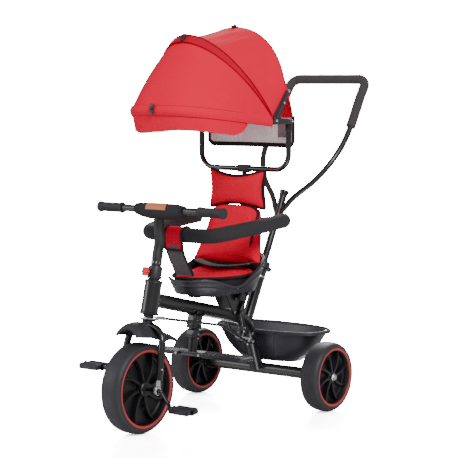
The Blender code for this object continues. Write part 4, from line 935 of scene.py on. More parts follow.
@dataclass
class Wheels:
    """The front wheel and the two rear ones, with the rear axle's bright ends."""

    front_radius: float = 0.125
    front_half: float = 0.0330
    rear_radius: float = 0.1016
    rear_half: float = 0.0308

    def nut(self, side: Side) -> bmesh.types.BMesh:
        """A flanged hexagon nut on the rear axle, with the axle's domed end.

        Args:
            side: which end of the axle.

        Returns:
            The bmesh, about the axle's line.
        """
        corners = [(0.0082 * math.cos(math.radians(60 * k)), 0.0082 * math.sin(math.radians(60 * k)))
                   for k in range(6)]
        flange = along_x(lathe([(0, 0), (0.0104, 0), (0.0106, 0.0008), (0.0096, 0.0018), (0, 0.0020)], 40))
        body = slab(corners, 0.0016, 0.0068, "YZ", 0.0006)
        end = along_x(lathe([(0, 0.006), (0.0042, 0.006), (0.0042, 0.0080), (0.0030, 0.0092), (0, 0.0095)], 32))
        whole = joined([flange, body, end])
        node = "rear_axle" if side is Side.LEFT else "axle_nut"
        low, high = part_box(node)
        outer = high[0] if side is Side.LEFT else low[0]
        if side is Side.RIGHT:
            placed(whole, Matrix.Rotation(math.pi, 4, "Z"))
        return placed(whole, Matrix.Translation((outer - side.value * 0.0095, 0, self.rear_radius)))

    def build(self) -> None:
        """Makes the three wheels and the axle."""
        Wheel("front", "front_wheel", "front_tyre", "front_rim", FRONT_AXLE, self.front_radius, self.front_half,
              0.1122, 0.1012, 0.0215, 0.0335, 0.0058).build()
        for side in Side:
            node = "rear_tyre_" + side.word
            Wheel("rear_" + side.word, "rear_wheel_" + side.word, node, "rear_rim_" + side.word, box_middle(node),
                  self.rear_radius, self.rear_half, 0.0892, 0.0790, 0.0170, 0.0238, 0.0058,
                  spoke_sweep=15.0).build()
        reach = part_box("rear_axle")[1][0] - 0.0105
        shaft = along_x(lathe([(0, -reach), (0.005, -reach), (0.005, reach), (0, reach)], 32))
        placed(shaft, Matrix.Translation((0, 0, self.rear_radius)))
        piece("axle_shaft", joined([shaft, self.nut(Side.LEFT)]), CHROME, "frame", ["rear_axle"])
        piece("axle_cap_nut", self.nut(Side.RIGHT), CHROME, "frame", ["axle_nut"])


# ----------------------------------------------------------------------------------- steering group
@dataclass
class Steering:
    """Fork, head, collar, ribbed post, handlebar with its pad, knob, mudguard and pedals."""

    track: float = 0.136
    shoulder: float = 0.116
    fork_radius: float = 0.0100
    crown: float = 0.172
    head_low: float = 0.203
    head_high: float = 0.298
    collar_top: float = 0.337
    collar_radius: float = 0.0198
    post_radius: float = 0.0150
    bar_height: float = 0.492
    bar_forward: float = 0.016
    bar_half: float = 0.2227
    bar_radius: float = 0.0100
    grip_length: float = 0.088
    crank_length: float = 0.0625
    crank_angle: float = -44.4
    pedal_length: float = 0.068
    pedal_width: float = 0.048

    def fork(self) -> None:
        """The bent fork tube, slotted over its bright dropouts."""
        leg, top, high = self.track / 2, self.shoulder / 2, self.crown
        path = rounded([(-leg, 0, 0.028), (-leg, 0, 0.050), (-top, 0, high - 0.012), (0, 0, high + 0.004),
                        (top, 0, high - 0.012), (leg, 0, 0.050), (leg, 0, 0.028)],
                       [0.05, 0.045, 0.030, 0.045, 0.05], 6)
        piece("fork", sweep(path, self.fork_radius), FORK_PAINT, "steering", ["fork_legs"], STEERING)
        for side in Side:
            self.dropout(side)
        self.crown_parts()

    def dropout(self, side: Side) -> None:
        """A pressed plate with an eye for the axle, its lower hook, a dished washer and the clamp's screw.

        Args:
            side: which leg.
        """
        middle = side.value * self.track / 2
        outline = [(-0.0084, 0.046), (-0.0084, 0.026)]
        outline += [(-0.0108, 0.020), (-0.0098, 0.012)]
        outline += [(-0.0135 * math.cos(math.radians(a)), -0.0135 * math.sin(math.radians(a)))
                    for a in range(-30, 211, 10)]
        outline += [(0.0098, 0.012), (0.0112, 0.018), (0.0084, 0.026), (0.0084, 0.046)]
        plate = slab(outline, middle - 0.0026, middle + 0.0026, "YZ", 0.0008)
        washers = []
        for sign in (1, -1):
            ring = lathe([(0.0062, 0.0), (0.0118, 0.0), (0.0124, 0.0010), (0.0110, 0.0030), (0.0084, 0.0034),
                          (0.0062, 0.0026)], 40)
            along_x(ring)
            if sign < 0:
                placed(ring, Matrix.Rotation(math.pi, 4, "Z"))
            washers.append(placed(ring, Matrix.Translation((middle + sign * 0.0024, 0, 0))))
        ridge = slab([(-0.0045, 0.044), (-0.0030, 0.020), (0.0030, 0.020), (0.0045, 0.044)],
                     middle - 0.0040, middle + 0.0040, "YZ", 0.001)
        piece("dropout_plate_" + side.word, joined([plate, ridge] + washers), CHROME, "steering",
              ["dropout_" + side.word], STEERING, 30)
        rivet = screw((middle + side.value * 0.0092, -0.004, 0.058), (side.value, 0, 0), 0.0034, 0.0020)
        piece("fork_rivet_" + side.word, rivet, CHROME, "steering", (), STEERING)

    def crown_parts(self) -> None:
        """The steerer's visible neck and flange, and the lever for the link rod."""
        low = self.crown - 0.002
        neck = lathe([(0, low), (0.0140, low), (0.0146, self.crown + 0.014), (0.0205, self.crown + 0.0142),
                      (0.0215, self.crown + 0.0152), (0.0215, self.crown + 0.0158), (0.0205, 0.1885),
                      (0.0140, 0.1885), (0.0140, self.head_high + 0.003), (0.0125, self.head_high + 0.004),
                      (0.0125, self.collar_top - 0.004), (0, self.collar_top - 0.004)], 56)
        piece("fork_neck", neck, DULL_PLASTIC, "steering", ["steerer"], STEERING, 30)
        dress("steering_lever", ZINC)

    def head(self) -> None:
        """The head tube with a rolled lip at each end, and the clamp collar over it."""
        low, high, r = self.head_low, self.head_high, 0.0245
        tube = lathe([(0.0186, low), (r + 0.0015, low), (r + 0.0022, low + 0.0008), (r + 0.0022, low + 0.0042),
                      (r + 0.0014, low + 0.0052), (r, low + 0.0062), (r - 0.0008, high - 0.0075),
                      (r + 0.0004, high - 0.0062), (r + 0.0008, high - 0.0052), (r + 0.0008, high - 0.0008),
                      (r, high), (0.0186, high)], 80)
        piece("head_shell", tube, FORK_PAINT, "frame", ["head_tube"], STEERING, 25)
        for word in ("lower", "upper"):
            dress("head_bush_" + word, DULL_PLASTIC)
        start, r = self.head_high + 0.004, self.collar_radius
        collar = lathe([(0.0154, start), (r + 0.0008, start), (r + 0.0008, start + 0.003), (r, start + 0.004),
                        (r, self.collar_top - 0.005), (r - 0.0008, self.collar_top - 0.0015),
                        (r - 0.0026, self.collar_top), (0.0154, self.collar_top)], 72)
        lug = brick((-0.0045, 0.0150, start + 0.010), (0.0045, 0.0252, start + 0.026), 0.0015)
        piece("clamp_collar", joined([collar, lug]), SHELL_PLASTIC, "steering",
              ["stem_collar"], STEERING, 30)

    def knob(self) -> None:
        """The lobed knob that frees the handlebar, with a raised boss."""
        lobes = []
        for k in range(72):
            a = 2 * math.pi * k / 72
            r = 0.0122 + 0.0018 * math.cos(6 * a)
            lobes.append((r * math.cos(a), r * math.sin(a)))
        grip = slab(lobes, 0.004, 0.0158, "XY", 0.0015, 3)
        boss = lathe([(0, 0), (0.0045, 0.0), (0.0045, 0.006), (0.0062, 0.0150), (0.0058, 0.0172), (0, 0.0176)], 40)
        turn = Matrix.Translation((-0.006, -self.collar_radius - 0.0012, 0.318)) @ Matrix.Rotation(
            math.radians(-18), 4, "Z") @ Matrix.Rotation(math.radians(90), 4, "X")
        piece("release_knob", joined([grip, boss]), RED_PLASTIC, "knob", ["clutch_knob"],
              STEERING @ turn, 35)

    def post(self) -> None:
        """The ribbed post, bending forward under the handlebar, with slots at its foot."""
        forward, high = -self.bar_forward, self.bar_height
        path = rounded([(0, 0, self.head_high + 0.006), (0, 0, high - 0.075), (0, forward, high - 0.03),
                        (0, forward, high - 0.004)], 0.05, 5)
        piece("bar_post", sweep(path, self.post_radius, 40), STEM_SLEEVE, "steering", ["stem"],
              STEERING)
        slots = []
        for a in range(0, 360, 36):
            mark = brick((-0.0016, -self.post_radius - 0.0006, self.collar_top + 0.006),
                         (0.0016, -self.post_radius + 0.001, self.collar_top + 0.0125), 0.0005)
            slots.append(placed(mark, Matrix.Rotation(math.radians(a), 4, "Z")))
        piece("post_slots", joined(slots), ZINC, "steering", (), STEERING)

    def bar(self) -> None:
        """The black handlebar tube and its ribbed grips."""
        reach = self.bar_half - 0.004
        place = STEERING @ Matrix.Translation((0, -self.bar_forward, self.bar_height))
        tube = along_x(lathe([(0, -reach), (self.bar_radius, -reach), (self.bar_radius, reach), (0, reach)], 48))
        piece("bar_tube", tube, TUBE_PAINT, "steering", ["handlebar"], place)
        for side in Side:
            start = self.bar_half - self.grip_length
            profile = [(self.bar_radius + 0.0002, start), (0.0148, start), (0.0156, start + 0.0012),
                       (0.0156, start + 0.0060), (0.0142, start + 0.0080)]
            pitch, x = 0.0036, start + 0.0105
            while x < self.bar_half - 0.0135:
                profile += [(0.0128, x), (0.0137, x + pitch * 0.22), (0.0137, x + pitch * 0.62),
                            (0.0128, x + pitch * 0.84)]
                x += pitch
            end = self.bar_half
            profile += [(0.0140, end - 0.0100), (0.0152, end - 0.0085), (0.0154, end - 0.0030),
                        (0.0142, end - 0.0008), (0.0110, end), (0.0090, end - 0.0008), (0, end - 0.0010),
                        (0, end - 0.003), (self.bar_radius + 0.0002, end - 0.003)]
            grip = along_x(lathe([(r, side.value * x) for r, x in profile], 48))
            piece("grip_sleeve_" + side.word, grip, GRIP_RUBBER, "steering", ["grip_" + side.word],
                  place, 30)

    def pad(self) -> None:
        """The padded cover round the middle of the bar: chamfered ends, stitched edges and a leather patch."""
        sections = ((-0.080, 0.0150, 0.0120, 0.0), (-0.0785, 0.0185, 0.0145, 0.0005), (-0.070, 0.0225, 0.0178, 0.0015),
                    (-0.050, 0.0262, 0.0205, 0.003), (-0.025, 0.0272, 0.0216, 0.004), (0.025, 0.0272, 0.0216, 0.004),
                    (0.050, 0.0262, 0.0205, 0.003), (0.070, 0.0225, 0.0178, 0.0015),
                    (0.0785, 0.0185, 0.0145, 0.0005), (0.080, 0.0150, 0.0120, 0.0))
        line = flowing([(x, a, b) for x, a, b, _ in sections], 49)
        drops = flowing([(x, d, 0) for x, _, _, d in sections], 49)

        def spot(u: float, v: float, grow: float = 0.0) -> Vector:
            """A point of the pad."""
            k = min(48, round(v * 48))
            half = line[k]
            y, z = squircle(2 * math.pi * u, half.y + grow, half.z + grow, 3.2)
            return Vector((half.x, -self.bar_forward + y, self.bar_height - drops[k].y + z))

        body = skin(spot, 48, 48, wrap=True, capped=True)
        made = piece("bar_cushion", body, PAD_CLOTH, "steering", ["bar_pad"], STEERING, 50)
        seams = []
        for v in (5 / 48, 43 / 48):
            seams.append(sweep([spot(k / 60, v, 0.0002) for k in range(60)], 0.0009, 8, True))
        piece("bar_cushion_seams", joined(seams), BINDING, "steering", (), STEERING)

        def patch(u: float, v: float) -> Vector:
            """A point of the leather patch, lying on the pad's front and top."""
            x = -0.035 + 0.070 * u + 0.003
            angle = math.radians(92 + 88 * v)
            y, z = squircle(angle, 0.0272 + 0.0004, 0.0216 + 0.0004, 3.2)
            return Vector((x, -self.bar_forward + y, self.bar_height - 0.004 + z))

        surface = skin(patch, 32, 24)
        area = cloth_area(surface)
        size = self.measure(patch)
        leather = piece("bar_patch", thickened(surface, -0.0012), LEATHER, "steering", (), STEERING, 50)

    @staticmethod
    def measure(spot: Callable[[float, float], Vector]) -> tuple[float, float]:
        """Cut size of a sheet from its surface.

        Args:
            spot: the surface.

        Returns:
            (width, length), measured through its middle.
        """
        wide = max(sum((spot((k + 1) / 48, v) - spot(k / 48, v)).length for k in range(48))
                   for v in (0.0, 0.25, 0.5, 0.75, 1.0))
        long = max(sum((spot(u, (k + 1) / 48) - spot(u, k / 48)).length for k in range(48))
                   for u in (0.0, 0.25, 0.5, 0.75, 1.0))
        return wide, long

    def mudguard(self) -> None:
        """Moulded guard that dips under the fork and stands up in front of it, with rolled edges."""
        sections = ((-0.0790, 0.1540, 0.020, 0.034), (-0.0760, 0.1600, 0.024, 0.041), (-0.066, 0.169, 0.032, 0.048),
                    (-0.044, 0.1755, 0.036, 0.051), (-0.0235, 0.1755, 0.034, 0.051), (-0.0125, 0.1650, 0.027, 0.047),
                    (0.000, 0.1622, 0.020, 0.0445), (0.020, 0.1622, 0.018, 0.044), (0.060, 0.161, 0.016, 0.044),
                    (0.095, 0.155, 0.012, 0.039), (0.123, 0.148, 0.009, 0.030))
        spine = flowing([(0, y, crest) for y, crest, _, _ in sections], 61)
        shape = flowing([(0, fall, half) for _, _, fall, half in sections], 61)

        def spot(u: float, v: float) -> Vector:
            """A point of the guard's top."""
            k = round(v * 60)
            across = 2 * u - 1
            return Vector((across * shape[k].z, spine[k].y, spine[k].z - shape[k].y * abs(across) ** 2.2))

        top = skin(spot, 36, 60)
        guard = thickened(top, -0.0022)
        low = min(v.co.z for v in guard.verts)
        LOG.info("mudguard down to %.4f", low)
        edge = [spot(k / 36, 0.0) for k in range(37)] + [spot(1.0, k / 60) for k in range(1, 60)]
        edge += [spot(1 - k / 36, 1.0) for k in range(37)] + [spot(0.0, 1 - k / 60) for k in range(1, 60)]
        bead = sweep([p + Vector((0, 0, -0.0008)) for p in edge], 0.0018, 10, True)
        piece("mudguard", joined([guard, bead]), DULL_PLASTIC, "steering", ["fender"], STEERING, 60)

    def cranks(self) -> None:
        """The bent crank axle and a toothed pedal on each end."""
        throw_angle = math.radians(self.crank_angle)
        inner = self.track / 2 + 0.013
        path: list[Vector] = []
        for side in (Side.LEFT, Side.RIGHT):
            s = side.value
            throw = Vector((0, math.cos(throw_angle), math.sin(throw_angle))) * self.crank_length * s
            arm = [Vector((s * inner, 0, 0)), throw + Vector((s * (inner + 0.009), 0, 0)),
                   throw + Vector((s * (inner + 0.020 + self.pedal_length), 0, 0))]
            path = arm[::-1] + path if side is Side.LEFT else path + arm
            self.pedal(side, throw, s * (inner + 0.016))
        shaft = sweep(rounded(path, 0.008, 8), 0.005, 24)
        piece("crank_shaft", shaft, DARK_CHROME, "crank", ["crank"], STEERING)

    def pedal(self, side: Side, throw: Vector, start: float) -> None:
        """Barrel, two toothed rails, end plates and a reflector strip.

        Args:
            side: which pedal.
            throw: where its spindle is.
            start: its inner end along X.
        """
        half, t = self.pedal_width / 2, 0.0080
        length = self.pedal_length
        parts = [along_x(lathe([(0.0058, 0.0), (0.0105, 0.0), (0.0115, 0.002), (0.0095, 0.008),
                                (0.0085, length / 2), (0.0095, length - 0.008), (0.0105, length - 0.002),
                                (0.0095, length), (0.0058, length)], 32))]
        for y in (-1, 1):
            teeth = []
            count = 8
            for k in range(count):
                x0 = 0.006 + (length - 0.012) * k / count
                x1 = 0.006 + (length - 0.012) * (k + 0.5) / count
                teeth += [(x0, t + 0.0012), (x0 + 0.0014, t - 0.0012), (x1, t - 0.0012), (x1 + 0.0012, t + 0.0012)]
            outline = [(0.002, -t), (0.002, t)] + teeth + [(length - 0.002, t), (length - 0.002, -t)]
            low, high = sorted((y * half, y * (half - 0.0055)))
            parts.append(slab(outline, low, high, "XZ", 0.0005))
            low, high = sorted((y * 0.0135, y * 0.0170))
            parts.append(brick((0.006, low, -0.0050), (length - 0.006, high, 0.0050), 0.0008))
        for x in (0.0, length - 0.0055):
            outline = rounded_outline([(-half, -t * 0.9), (half, -t * 0.9), (half, t * 0.9), (-half, t * 0.9)],
                                      0.004, 20)
            parts.append(slab(outline, x, x + 0.0055, "YZ", 0.0007))
        for x in (length * 0.33, length * 0.62):
            for y in (-1, 1):
                low, high = sorted((y * 0.009, y * (half - 0.003)))
                parts.append(brick((x, low, -0.0055), (x + 0.0035, high, 0.0055), 0.0006))
        whole = joined(parts)
        if side is Side.RIGHT:
            placed(whole, Matrix.Scale(-1, 4, (1, 0, 0)))
        turn = Matrix.Translation(throw + Vector((start, 0, 0))) @ Matrix.Rotation(STEER_LEAN, 4, "X")
        piece("pedal_block_" + side.word, whole, DULL_PLASTIC, "pedal_" + side.word,
              ["pedal_" + side.word], STEERING @ turn, 30)
        strips = []
        for y in (-1, 1):
            low, high = sorted((y * (half - 0.001), y * (half + 0.0007)))
            strips.append(brick((0.020, low, -0.0035), (length - 0.020, high, 0.0035), 0.0004))
        band = joined(strips)
        if side is Side.RIGHT:
            placed(band, Matrix.Scale(-1, 4, (1, 0, 0)))
        piece("pedal_band_" + side.word, band, SHELL_PLASTIC, "pedal_" + side.word, (),
              STEERING @ turn)

    def build(self) -> None:
        """Makes everything that steers."""
        self.fork()
        self.head()
        self.knob()
        self.post()
        self.bar()
        self.pad()
        self.mudguard()
        self.cranks()


# --------------------------------------------------------------------------------------------- frame
@dataclass
class Chassis:
    """Main tube, rear axle tube, seat bracket, footrest with its post, link rod and basket."""

    main_radius: float = 0.0200
    axle_tube_half: float = 0.203
    slope: float = 13.0
    head_height: float = 0.3615
    bend_y: float = -0.0716
    foot_y: float = -0.016
    axle_height: float = 0.1016
    rest_y: float = -0.327
    rest_height: float = 0.190
    basket_height: float = 0.222
    basket_floor: float = 0.124

    def head_point(self) -> Vector:
        """Where the main tube's line meets the steering axis."""
        y = FRONT_AXLE.y - AXLE_Y + math.tan(STEER_LEAN) * (self.head_height - FRONT_AXLE.z)
        return Vector((0, y, self.head_height))

    def main_height(self, y: float) -> float:
        """Height of the main tube's centre above a Y on its straight part."""
        head = self.head_point()
        return head.z - math.tan(math.radians(self.slope)) * (y - head.y)

    def tubes(self) -> None:
        """The main tube with its weld beads, and the cross tube for the rear axle."""
        head = self.head_point()
        path = rounded([head + Vector((0, 0.010, 0)), (0, self.bend_y, self.main_height(self.bend_y)),
                        (0, self.foot_y, self.axle_height + 0.004)], 0.100, 4)
        main = sweep(path, self.main_radius, 48)
        piece("spine_tube", main, TUBE_PAINT, "frame", ["main_tube"])
        welds = []
        weld = [Vector((0.0212 * math.cos(a), 0.0, 0.0212 * math.sin(a))) for a in
                [2 * math.pi * k / 48 for k in range(48)]]
        lean = Matrix.Translation((0, self.foot_y + 0.001, self.axle_height + 0.019)) @ Matrix.Rotation(
            math.radians(78), 4, "X")
        welds.append(sweep([lean @ p for p in weld], 0.0022, 10, True))
        head_weld = []
        for k in range(64):
            a = 2 * math.pi * k / 64
            x, s = 0.0205 * math.cos(a), 0.0212 * math.sin(a)
            depth = math.sqrt(0.0247 ** 2 - min(x * x, 0.0006))
            along = Vector((0, math.sin(STEER_LEAN), math.cos(STEER_LEAN)))
            back = Vector((0, math.cos(STEER_LEAN), -math.sin(STEER_LEAN)))
            head_weld.append(head + Vector((x, 0, 0)) + along * s + back * depth)
        welds.append(sweep(head_weld, 0.0020, 10, True))
        piece("weld_beads", joined(welds), FORK_PAINT, "frame")
        half = self.axle_tube_half
        cross = along_x(lathe([(0.0056, -half), (0.0162, -half), (0.0170, -half + 0.0008), (0.0170, half - 0.0008),
                               (0.0162, half), (0.0056, half)], 56))
        rings = [cross]
        for sign in (1, -1):
            collar = along_x(lathe([(0.0058, half - 0.010), (0.0180, half - 0.010), (0.0184, half - 0.009),
                                    (0.0184, half - 0.001), (0.0176, half), (0.0058, half)], 56))
            rings.append(placed(collar, Matrix.Scale(sign, 4, (1, 0, 0))))
        place = WORLD @ Matrix.Translation((0, 0, self.axle_height))
        piece("axle_cross_tube", joined(rings), TUBE_PAINT, "frame", ["rear_axle_tube"], place)

    def bracket(self) -> None:
        """The folded seat bracket's bolts and knob; the bracket and the lever keep their shapes."""
        dress("seat_bracket", TUBE_PAINT)
        dress("seat_lever", SHELL_PLASTIC)
        bolts = []
        for side in Side:
            s = side.value
            for y, z in ((-0.158, 0.290), (-0.126, 0.284), (-0.150, 0.330)):
                bolts.append(screw((s * 0.0238, y, z), (s, 0, 0), 0.0046, 0.0030))
            bolts.append(screw((s * 0.0172, -0.062, 0.214), (s, -0.25, 0.1), 0.0050, 0.0034))
            bolts.append(screw((s * 0.0176, -0.058, 0.190), (s, -0.25, 0.1), 0.0042, 0.0030))
        piece("bracket_bolts", joined(bolts), ZINC, "frame")
        knob = along_x(lathe([(0, 0.024), (0.006, 0.024), (0.006, 0.030), (0.0125, 0.031), (0.0135, 0.033),
                              (0.0135, 0.040), (0.0120, 0.042), (0, 0.0425)], 40))
        placed(knob, Matrix.Translation((0, -0.142, 0.335)))
        piece("bracket_knob", knob, SHELL_PLASTIC, "frame")

    def footrest(self) -> None:
        """Saddle clamp, post, cross beam and the two folding plates with raised treads."""
        y_top = self.rest_y + 0.018
        top = Vector((0, y_top, self.main_height(y_top)))
        lean = math.radians(10.5)
        down = Vector((0, -math.sin(lean), -math.cos(lean)))
        post = sweep([top + down * 0.030, Vector((0, self.rest_y, self.rest_height + 0.006))], 0.0125, 32)
        along = Matrix.Translation(top) @ Matrix.Rotation(math.radians(-self.slope), 4, "X")
        saddle = placed(brick((-0.0145, -0.019, -0.057), (0.0145, 0.019, -0.018), 0.0035), along)
        band = []
        for y in (-0.0165, 0.0165):
            arc = [Vector((0.0218 * math.cos(a), y, 0.0218 * math.sin(a))) for a in
                   [math.radians(200 + 140 * k / 20) for k in range(21)]]
            band.append(placed(sweep(arc, 0.0024, 12), along))
        thumb = placed(brick((-0.0165, -0.0135, -0.084), (0.0165, 0.0135, -0.060), 0.004), along)
        piece("footrest_hanger", joined([post, saddle, thumb] + band), TUBE_PAINT, "frame",
              ["footrest_post"])
        screws = [screw((s * 0.0143, -0.008, -0.036), (s, 0, 0), 0.0040, 0.0026) for s in (1, -1)]
        screws += [screw((s * 0.0160, 0.004, -0.072), (s, 0, 0), 0.0036, 0.0024) for s in (1, -1)]
        piece("hanger_screws", placed(joined(screws), along), ZINC, "frame")
        beam = brick((-0.046, self.rest_y - 0.016, self.rest_height - 0.007),
                     (0.046, self.rest_y + 0.016, self.rest_height + 0.007), 0.003)
        pins = []
        for s in (1, -1):
            pin = lathe([(0, -0.0268), (0.0040, -0.0268), (0.0040, -0.0262), (0.0035, -0.0256), (0.0035, 0.0256),
                         (0.0040, 0.0262), (0.0040, 0.0268), (0, 0.0268)], 28)
            placed(pin, Matrix.Translation((s * 0.041, self.rest_y, self.rest_height)) @ Matrix.Rotation(
                math.radians(90), 4, "X"))
            pins.append(pin)
        piece("footrest_bar", beam, TUBE_PAINT, "frame", ["footrest_beam"])
        piece("footrest_pins", joined(pins), ZINC, "frame")
        for side in Side:
            self.foot_plate(side)

    def foot_plate(self, side: Side) -> None:
        """A moulded plate with a raised border, grip ribs and two ears on its hinge pin.

        Args:
            side: which plate.
        """
        s = side.value
        low, high = sorted((s * 0.049, s * 0.198))
        y0, y1 = self.rest_y - 0.031, self.rest_y + 0.031
        z = self.rest_height
        outline = rounded_outline([(low, y0), (high, y0), (high, y1), (low, y1)], 0.012)
        parts = [slab(outline, z - 0.005, z + 0.0034, "XY", 0.0022, 3)]
        border = [Vector((x, y, z + 0.0034)) for x, y in
                  rounded_outline([(low + 0.004, y0 + 0.004), (high - 0.004, y0 + 0.004),
                                   (high - 0.004, y1 - 0.004), (low + 0.004, y1 - 0.004)], 0.009)]
        parts.append(sweep(border, 0.0019, 10, True))
        for k in range(9):
            x = s * (0.062 + 0.0145 * k)
            a, b = sorted((x - 0.0016, x + 0.0016))
            parts.append(brick((a, y0 + 0.011, z + 0.002), (b, y1 - 0.011, z + 0.0049), 0.0009))
        for y in (-1, 1):
            near, far = sorted((s * 0.0355, s * 0.053))
            a, b = sorted((self.rest_y + y * 0.0175, self.rest_y + y * 0.0245))
            parts.append(brick((near, a, z - 0.005), (far, b, z + 0.005), 0.0022))
        piece("foot_plate_" + side.word, joined(parts), SHELL_PLASTIC, "footrest_" + side.word,
              ["footrest_" + side.word])

    def link(self) -> None:
        """The bent link rod with its eyes, its bright front clevis and the zinc finish of the handle's lever."""
        s_axis = Vector((0, math.sin(STEER_LEAN), math.cos(STEER_LEAN)))
        foot = Vector((0, FRONT_AXLE.y - AXLE_Y, FRONT_AXLE.z))
        front = foot + s_axis * 0.1965 + Vector((0.028, 0, 0))
        base = HANDLE_FOOT - Vector((0, AXLE_Y, 0))
        rear = base + Vector((0.028, 0, 0))
        bend = Vector((0.028, -0.223, 0.259))
        back = Vector((0, math.cos(STEER_LEAN), -math.sin(STEER_LEAN)))
        path = rounded([front + back * 0.0062 + s_axis * 0.0006, bend, rear + Vector((0, -0.0112, 0.0040))], 0.06, 4)
        rod = sweep(path, 0.0040, 24)
        rear_eye = placed(lathe([(0.0098, -0.0028), (0.0128, -0.0028), (0.0132, 0.0), (0.0128, 0.0028),
                                 (0.0098, 0.0028)], 40),
                          Matrix.Translation(rear) @ Matrix.Rotation(-HANDLE_LEAN, 4, "X"))
        piece("link_bar", joined([rod, rear_eye]), TUBE_PAINT, "link", ["link_rod"])
        eye = placed(lathe([(0.0036, -0.0028), (0.0072, -0.0028), (0.0077, 0.0), (0.0072, 0.0028),
                            (0.0036, 0.0028)], 36),
                     Matrix.Translation(front) @ Matrix.Rotation(-STEER_LEAN, 4, "X"))
        ferrule = sweep([path[0], path[0].lerp(path[1], 0.10)], 0.0052, 20)
        piece("link_front_eye", joined([eye, ferrule]), CHROME, "link")
        dress("handle_lever", ZINC)

    def basket(self) -> None:
        """Deep moulded tub with a rolled rim; its wall is drawn from a smooth section."""
        levels = flowing([(0.102, 0.046, self.basket_floor), (0.118, 0.056, self.basket_floor + 0.012),
                          (0.142, 0.066, self.basket_floor + 0.032), (0.156, 0.073, self.basket_height - 0.050),
                          (0.172, 0.081, self.basket_height - 0.026), (0.183, 0.087, self.basket_height - 0.008)], 25)

        def wall(u: float, v: float) -> Vector:
            """A point of the tub's outside."""
            level = levels[round(v * 24)]
            x, y = squircle(2 * math.pi * u, level.x, level.y, 2.5)
            rise = (level.z - self.basket_floor) / (self.basket_height - self.basket_floor)
            return Vector((x, 0.060 + 0.006 * rise + y, level.z))

        shell = skin(wall, 96, 24, wrap=True)
        base = [e for e in shell.edges if len(e.link_faces) == 1
                and all(v.co.z < self.basket_floor + 1e-4 for v in e.verts)]
        bmesh.ops.holes_fill(shell, edges=base, sides=0)
        tub = thickened(shell, 0.0025)
        parts = [tub]
        for grow, drop, thick in ((0.0034, -0.0012, 0.0042), (0.0058, -0.0052, 0.0024)):
            rim = []
            for k in range(120):
                x, y = squircle(2 * math.pi * k / 120, 0.1845 + grow, 0.0885 + grow, 2.5)
                rim.append(Vector((x, 0.066 + y, self.basket_height - 0.0025 + drop)))
            parts.append(sweep(rim, thick, 16, True))
        for k in (-1, 0, 1):
            rib = [wall(0.25 + 0.045 * k, v / 12) + Vector((0, 0.0004, 0)) for v in range(1, 12)]
            parts.append(sweep(rib, 0.0016, 10))
            rib = [wall(0.75 + 0.045 * k, v / 12) - Vector((0, 0.0004, 0)) for v in range(1, 12)]
            parts.append(sweep(rib, 0.0016, 10))
        tub = piece("basket_tub", joined(parts), BASKET_PLASTIC, "frame", ["basket"])
        LOG.info("basket %s", tub.name)
        bolts = [screw((x, 0.0125, 0.158), (0, -1, -0.25), 0.0045, 0.003) for x in (-0.028, 0.028)]
        piece("basket_bolts", joined(bolts), CHROME, "frame")

    def build(self) -> None:
        """Makes the chassis."""
        self.tubes()
        self.bracket()
        self.footrest()
        self.link()
        self.basket()


